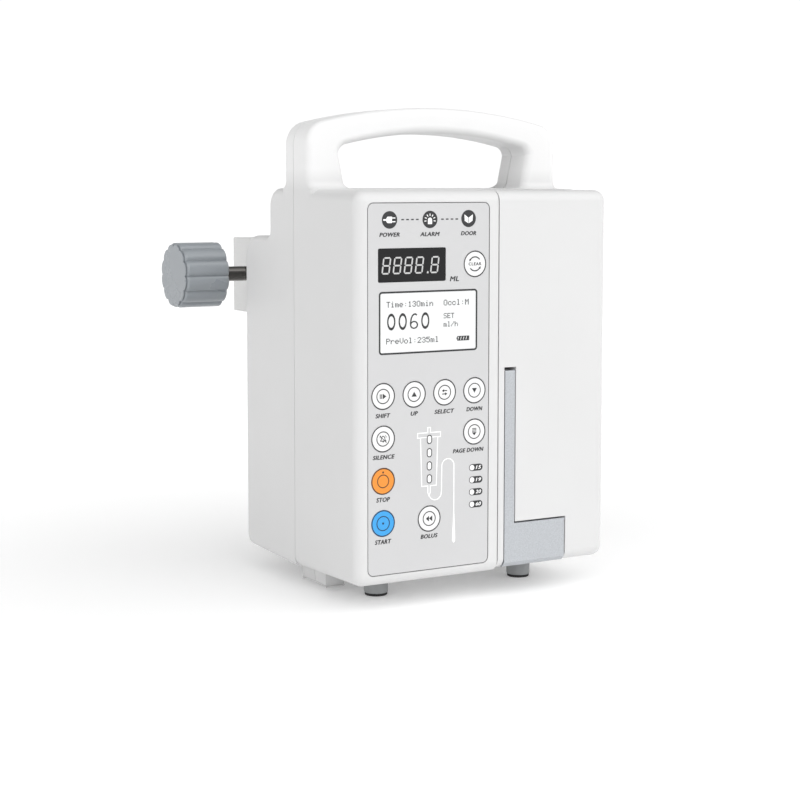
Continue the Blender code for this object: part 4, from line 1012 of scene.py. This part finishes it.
def led_display():
    window = prism_bm(rounded_outline(*LED, 0.65), "y", 0.12, 1.3)
    round_edges(window, 0.08, 2, lambda a, b: max(a.y, b.y) < 0.13)
    piece("led_cover", window, M["smoked"], "case", ["led_window"], 40)
    digits = []
    front, back = 0.085, 0.2
    width, height, bar = 3.15, 6.35, 0.62
    base, slant = 138.95, 0.13
    for x in DIGIT_X:
        corners = {}
        for row, z in enumerate((0.0, height / 2, height)):
            for col in (0, 1):
                corners[(col, row)] = (x - width / 2 + col * width + slant * (z - height / 2), base + z)
        bars = (((0, 0), (1, 0)), ((0, 1), (1, 1)), ((0, 2), (1, 2)), ((0, 0), (0, 1)), ((0, 1), (0, 2)),
                ((1, 0), (1, 1)), ((1, 1), (1, 2)))
        for a, b in bars:
            digits.append(flat_bm(segment_outline(*corners[a], *corners[b], bar, 0.13), front, back))
    digits.append(flat_bm(disc_points(POINT_X, base + 0.1, 0.45, 16), front, back))
    piece("led_digits", gathered(digits), M["segment"], "case", smooth=0)


GLYPHS = {
    "T": "1f 04 04 04 04 04 04", "i": "04 00 0c 04 04 04 0e", "m": "00 00 1a 15 15 15 15",
    "e": "00 00 0e 11 1f 10 0e", ":": "00 00 04 00 00 04 00", "1": "04 0c 04 04 04 04 0e",
    "3": "0e 11 01 06 01 11 0e", "0": "0e 11 11 11 11 11 0e", "n": "00 00 16 19 11 11 11",
    "O": "0e 11 11 11 11 11 0e", "c": "00 00 0e 11 10 11 0e", "l": "0c 04 04 04 04 04 0e",
    "M": "11 1b 15 15 11 11 11", "P": "1e 11 11 1e 10 10 10", "r": "00 00 16 19 10 10 10",
    "V": "11 11 11 11 11 0a 04", "o": "00 00 0e 11 11 11 0e", "2": "0e 11 01 02 04 08 1f",
    "5": "1f 10 1e 01 01 11 0e", "/": "01 01 02 04 08 10 10", "h": "10 10 16 19 11 11 11",
    "S": "0f 10 10 0e 01 01 1e", "E": "1f 10 10 1e 10 10 1f",
}


def dot_text(words, left, base, advance, height, front, back):
    """Words in a five by seven dot grid."""
    dots = []
    pitch_x, pitch_z = advance / 6, height / 7
    for index, letter in enumerate(words):
        if letter == " ":
            continue
        for row, bits in enumerate(GLYPHS[letter].split()):
            for col in range(5):
                if int(bits, 16) >> (4 - col) & 1:
                    x = left + index * advance + col * pitch_x
                    z = base + (6 - row) * pitch_z
                    dots.append(flat_bm(rect(x, x + pitch_x, z, z + pitch_z * 0.96), front, back))
    return dots


# Words, left end, base line, advance and height
LCD_LINES = (
    ("Time:130min", -48.3, 125.2, 2.03, 2.35), ("Occl:M", -21.2, 125.2, 2.08, 2.35),
    ("SET", -21.2, 119.9, 1.8, 2.1), ("ml/h", -21.2, 116.4, 1.8, 2.1),
    ("PreVol:235ml", -48.4, 110.3, 2.1, 2.3),
)


def lcd_display():
    glass = prism_bm(rounded_outline(*LCD, 0.95), "y", 0.17, 2.6)
    piece("lcd_cover", glass, M["lcd"], "case", smooth=40)
    front, back = 0.13, 0.26
    pale = [dot for line in LCD_LINES for dot in dot_text(*line, front, back)]
    piece("lcd_text_small", gathered(pale), M["lcd_pale"], "case", smooth=0)
    big = []
    for index, digit in enumerate("0060"):
        x = -46.05 + 5.35 * index
        if digit == "0":
            big.append(ring_bm(x, 119.3, 1.62, 0.62, front, back, 40, squash=1.78))
        else:
            big.append(ring_bm(x, 117.75, 1.6, 0.62, front, back, 36, squash=0.86))
            curl = [(x - 1.6, 117.8), (x - 1.6, 118.8), (x - 1.35, 120.3), (x - 0.8, 121.5), (x - 0.05, 122.1),
                    (x + 0.75, 122.15), (x + 1.3, 121.7)]
            big.append(ribbon_bm(curl, 0.62, front - 0.004, back))
    cell = rect(-14.4, -8.9, 110.5, 112.1)
    big.append(ribbon_bm(cell, 0.34, front - 0.002, back, closed=True))
    big.append(flat_bm(rect(-14.9, -14.4, 110.9, 111.7), front, back))
    for i in range(4):
        x = -14.1 + 1.3 * i
        big.append(flat_bm([(x, 110.65), (x + 0.95, 110.65), (x + 1.35, 111.95), (x + 0.4, 111.95)],
                           front - 0.006, back))
    piece("lcd_text_big", gathered(big), M["lcd_ink"], "case", smooth=0)


# ---- clamp, feet and small parts

def knob():
    """Twelve convex lobes with narrow valleys between them, and a flat end with a fine groove round it."""
    steps = KNOB_LOBES * 20
    rows = ((KNOB_LEFT, -1.0), (KNOB_LEFT + 0.1, -0.82), (KNOB_LEFT + 0.4, -0.76), (KNOB_LEFT + 0.5, -1.3),
            (KNOB_LEFT + 0.8, -1.34), (KNOB_LEFT + 0.9, -0.8), (KNOB_LEFT + 1.15, -0.36),
            (KNOB_LEFT + 1.6, -0.1), (KNOB_LEFT + 2.2, 0.0), (KNOB_RIGHT - 0.9, 0.0),
            (KNOB_RIGHT - 0.4, -0.1), (KNOB_RIGHT - 0.08, -0.42), (KNOB_RIGHT, -0.9))
    bm = bmesh.new()
    rings = []
    for x, inset in rows:
        ring = []
        for i in range(steps):
            a = 2 * math.pi * i / steps
            off_lobe = abs((KNOB_LOBES * a / (2 * math.pi)) % 1.0 - 0.5) * 2
            valley = max(0.0, (off_lobe - 0.55) / 0.45)
            r = KNOB_R + inset - 0.75 * off_lobe ** 2 - 0.55 * valley ** 2
            ring.append(bm.verts.new((x, SCREW_Y + r * math.cos(a), SCREW_Z + r * math.sin(a))))
        rings.append(ring)
    for a, b in zip(rings, rings[1:]):
        for i in range(steps):
            j = (i + 1) % steps
            bm.faces.new((a[i], b[i], b[j], a[j]))
    bm.faces.new(rings[0])
    bm.faces.new(rings[-1])
    bore = tube_bm(SCREW_R + 0.3, 12, "x", (-63, SCREW_Y, SCREW_Z), 32)
    made = combined(bm, [("DIFFERENCE", bore)])
    piece("knob_lobed", made, M["knob"], "clamp_handwheel", ["clamp_knob"], 42)


def clamp_bracket():
    outline = [(CLAMP_LEFT, REAR_Y + 0.4), (CLAMP_RIGHT, REAR_Y + 0.4), (CLAMP_RIGHT, 168), (20, 168),
               (20, 147), (25, SCREW_Y), (20, 129), (20, 113), (-25, 113), (-25, CLAMP_END),
               (CLAMP_LEFT, CLAMP_END)]
    bm = prism_bm(outline, "z", CLAMP_LOW, CLAMP_TOP)
    round_edges(bm, 0.5, 3, lambda a, b: True)
    made = combined(bm, [("DIFFERENCE", tube_bm(SCREW_R + 0.3, 30, "x", (-32, SCREW_Y, SCREW_Z), 40))])
    piece("clamp_casting", made, M["clamp"], "case", ["clamp_bracket"])


def clamp_screw():
    """A plain polished neck by the knob, and rings that stand for the thread beyond it."""
    profile = [(0, -68.6), (SCREW_R - 0.5, -68.6), (SCREW_R, -68.1)]
    x, root = -48.0, SCREW_R - THREAD_DEPTH
    profile.append((SCREW_R, x))
    while x < -23.5:
        profile += [(root, x + 0.5), (root, x + 0.62), (SCREW_R, x + 1.0), (SCREW_R, x + THREAD_PITCH)]
        x += THREAD_PITCH
    profile += [(SCREW_R - 0.5, -21.5), (0, -21.5)]
    piece("screw_threaded", lathe_bm(profile, "x", (0, SCREW_Y, SCREW_Z), 48), M["steel"],
          "clamp_handwheel", ["clamp_screw"], 25)
    face = [(0, -20.9), (7.4, -20.9), (7.8, -20.6), (7.95, -20.0), (7.95, -18.2), (7.6, -17.4),
            (6.8, -17.05), (0, -17.05)]
    pad = lathe_bm(face, "x", (0, SCREW_Y, SCREW_Z), 64)
    piece("pad_moulded", pad, M["black_rubber"], "clamp_jaw", ["clamp_pad"], 40)


def feet():
    top = FOOT_BODY_TOP
    for name, (x, y) in FEET.items():
        profile = [(0, 1.2), (5.0, 1.2), (5.15, 1.5), (5.2, 2.2), (5.2, top - 0.4), (4.8, top), (0, top)]
        body = lathe_bm(profile, "z", (x, y, 0), 48)
        piece("foot_body_" + name, body, M["rubber"], "case", ["foot_" + name], 40)
        # A black disc 1.2 mm tall under each foot body, which gives the dark line along the bottom of the foot.
        black_base = lathe_bm([(0, 0.0), (4.6, 0.0), (4.9, 0.3), (4.95, 1.2), (0, 1.2)], "z", (x, y, 0), 48)
        piece("foot_black_base_" + name, black_base, M["black_rubber"], "case", smooth=40)


def repaint():
    """Materials for the CAD nodes that are shown as they are."""
    paints = {
        "steel_plain": ["hinge_pin_lower", "hinge_pin_upper", "lever_pin", "latch_bar",
                        "striker_plate", "camshaft", "motor_shaft", "bearing_lower",
                        "bearing_upper", "pressure_sensor",
                        "platen_spring_lower", "platen_spring_upper",
                        "case_screw_left_lower", "case_screw_left_upper",
                        "case_screw_right_lower", "case_screw_right_upper"],
        "aluminium": ["platen", "shaft_coupling", "pump_chassis", "power_supply"]
                     + [f"pump_finger_{i}" for i in range(1, 7)],
        "dark": ["led_module", "bubble_detector", "stepper_motor", "speaker", "mains_inlet"],
        "board": ["front_board", "main_board"],
        "clamp": ["door_inner_plate"],
        "label": ["battery_pack"],
        "lcd": ["lcd_module"],
    }
    for key, names in paints.items():
        for name in names:
            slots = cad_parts[name].material_slots
            for slot in slots:
                slot.link = "OBJECT"
                slot.material = M[key]


# ---- stage

def soft_surround():
    """A white surround, brighter high in front and dimmer to the left and high up behind."""
    world = bpy.data.worlds.new("studio")
    bpy.context.scene.world = world
    world.use_nodes = True
    nodes, links = world.node_tree.nodes, world.node_tree.links
    where = nodes.new("ShaderNodeTexCoord")
    split = nodes.new("ShaderNodeSeparateXYZ")
    links.new(where.outputs["Generated"], split.inputs["Vector"])

    def ramp(axis, start, end, low, high):
        return map_range(nodes, links, split.outputs[axis], start, end, low, high, "SMOOTHSTEP")

    def join(operation, first, second):
        node = nodes.new("ShaderNodeMath")
        node.operation = operation
        for socket, value in zip(node.inputs, (first, second)):
            if isinstance(value, float):
                socket.default_value = value
            else:
                links.new(value, socket)
        return node.outputs["Value"]

    behind = ramp("Y", -0.25, 0.35, 0.0, 1.0)
    high = ramp("Z", 0.13, 0.5, 0.0, 1.0)
    dim_behind = join("MULTIPLY", join("MULTIPLY", behind, high), 0.70)
    dim_left = ramp("X", -0.25, -0.85, 0.0, 0.12)
    ahead = join("SUBTRACT", 1.0, behind)
    raised = join("SUBTRACT", ramp("Z", 0.15, 0.5, 0.0, 1.0), ramp("Z", 0.75, 0.98, 0.0, 1.0))
    window = join("MULTIPLY", join("MULTIPLY", ahead, raised), 0.75)
    lit = join("ADD", 1.04, window)
    strength = join("SUBTRACT", join("SUBTRACT", lit, dim_behind), dim_left)
    links.new(strength, nodes["Background"].inputs["Strength"])
    nodes["Background"].inputs["Color"].default_value = (1.0, 1.0, 1.0, 1.0)


FLOOR_COLOR = (0.89, 0.89, 0.89)
GLOW_FROM, FLOOR_GLOW = (0.14, 0.6), (0.17, 0.25)     # metres from the pump, and the glow there
LIGHT_AT, LIGHT_TARGET = (0.5, -1.6, 0.9), (0.0, 0.0, 0.1)
CAMERA_AT = (-395.97, -612.17, 174.8)
CAMERA_DIP, CAMERA_TURN = 5.09, 29.606                # degrees below the level and off straight ahead
CAMERA_SHIFT = (0.01625, -0.0749)


def stage():
    """A pale floor, soft light and the camera."""
    floor_material, nodes, links, shader = new_material("floor", FLOOR_COLOR, 0.8)
    varied(nodes, links, noise(nodes, links, 0.004, 2.0), shader, FLOOR_COLOR, 0.004)
    shader.inputs["Emission Color"].default_value = (1.0, 1.0, 1.0, 1.0)
    shader.inputs["Emission Strength"].default_value = FLOOR_GLOW[0]
    shader.inputs["Specular IOR Level"].default_value = 0.1
    where = nodes.new("ShaderNodeTexCoord")
    away = nodes.new("ShaderNodeVectorMath")
    away.operation = "LENGTH"
    links.new(where.outputs["Object"], away.inputs[0])
    fade = map_range(nodes, links, away.outputs["Value"], *GLOW_FROM, *FLOOR_GLOW)
    links.new(fade, shader.inputs["Emission Strength"])
    bm = bmesh.new()
    bmesh.ops.create_grid(bm, x_segments=2, y_segments=2, size=6.0)
    mesh = mesh_of("floor", bm)
    mesh.materials.append(floor_material)
    floor = linked("floor", mesh)

    soft_surround()

    light = bpy.data.lights.new("key_light", "AREA")
    light.shape = "DISK"
    light.size = 0.9
    light.energy = 1.6
    lamp = linked("key_light", light)
    lamp.location = LIGHT_AT
    aim = Vector(LIGHT_TARGET) - Vector(LIGHT_AT)
    lamp.rotation_euler = aim.to_track_quat("-Z", "Y").to_euler()

    data = bpy.data.cameras.new("camera")
    camera = linked("camera", data)
    data.lens = 78.6
    data.sensor_width = 36.0
    data.shift_x, data.shift_y = CAMERA_SHIFT
    data.clip_start = 0.01
    camera.location = Vector(CAMERA_AT) * MM + SHIFT
    camera.rotation_euler = (math.radians(90 - CAMERA_DIP), 0.0, math.radians(-CAMERA_TURN))
    bpy.context.scene.camera = camera
    bpy.context.scene.view_settings.view_transform = "Standard"


def main():
    front_shell()
    rear_shell()
    door_shell()
    lever()
    film()
    panel_print()
    panel_print_white()
    keys()
    led_display()
    lcd_display()
    knob()
    clamp_bracket()
    clamp_screw()
    feet()
    repaint()
    stage()


main()
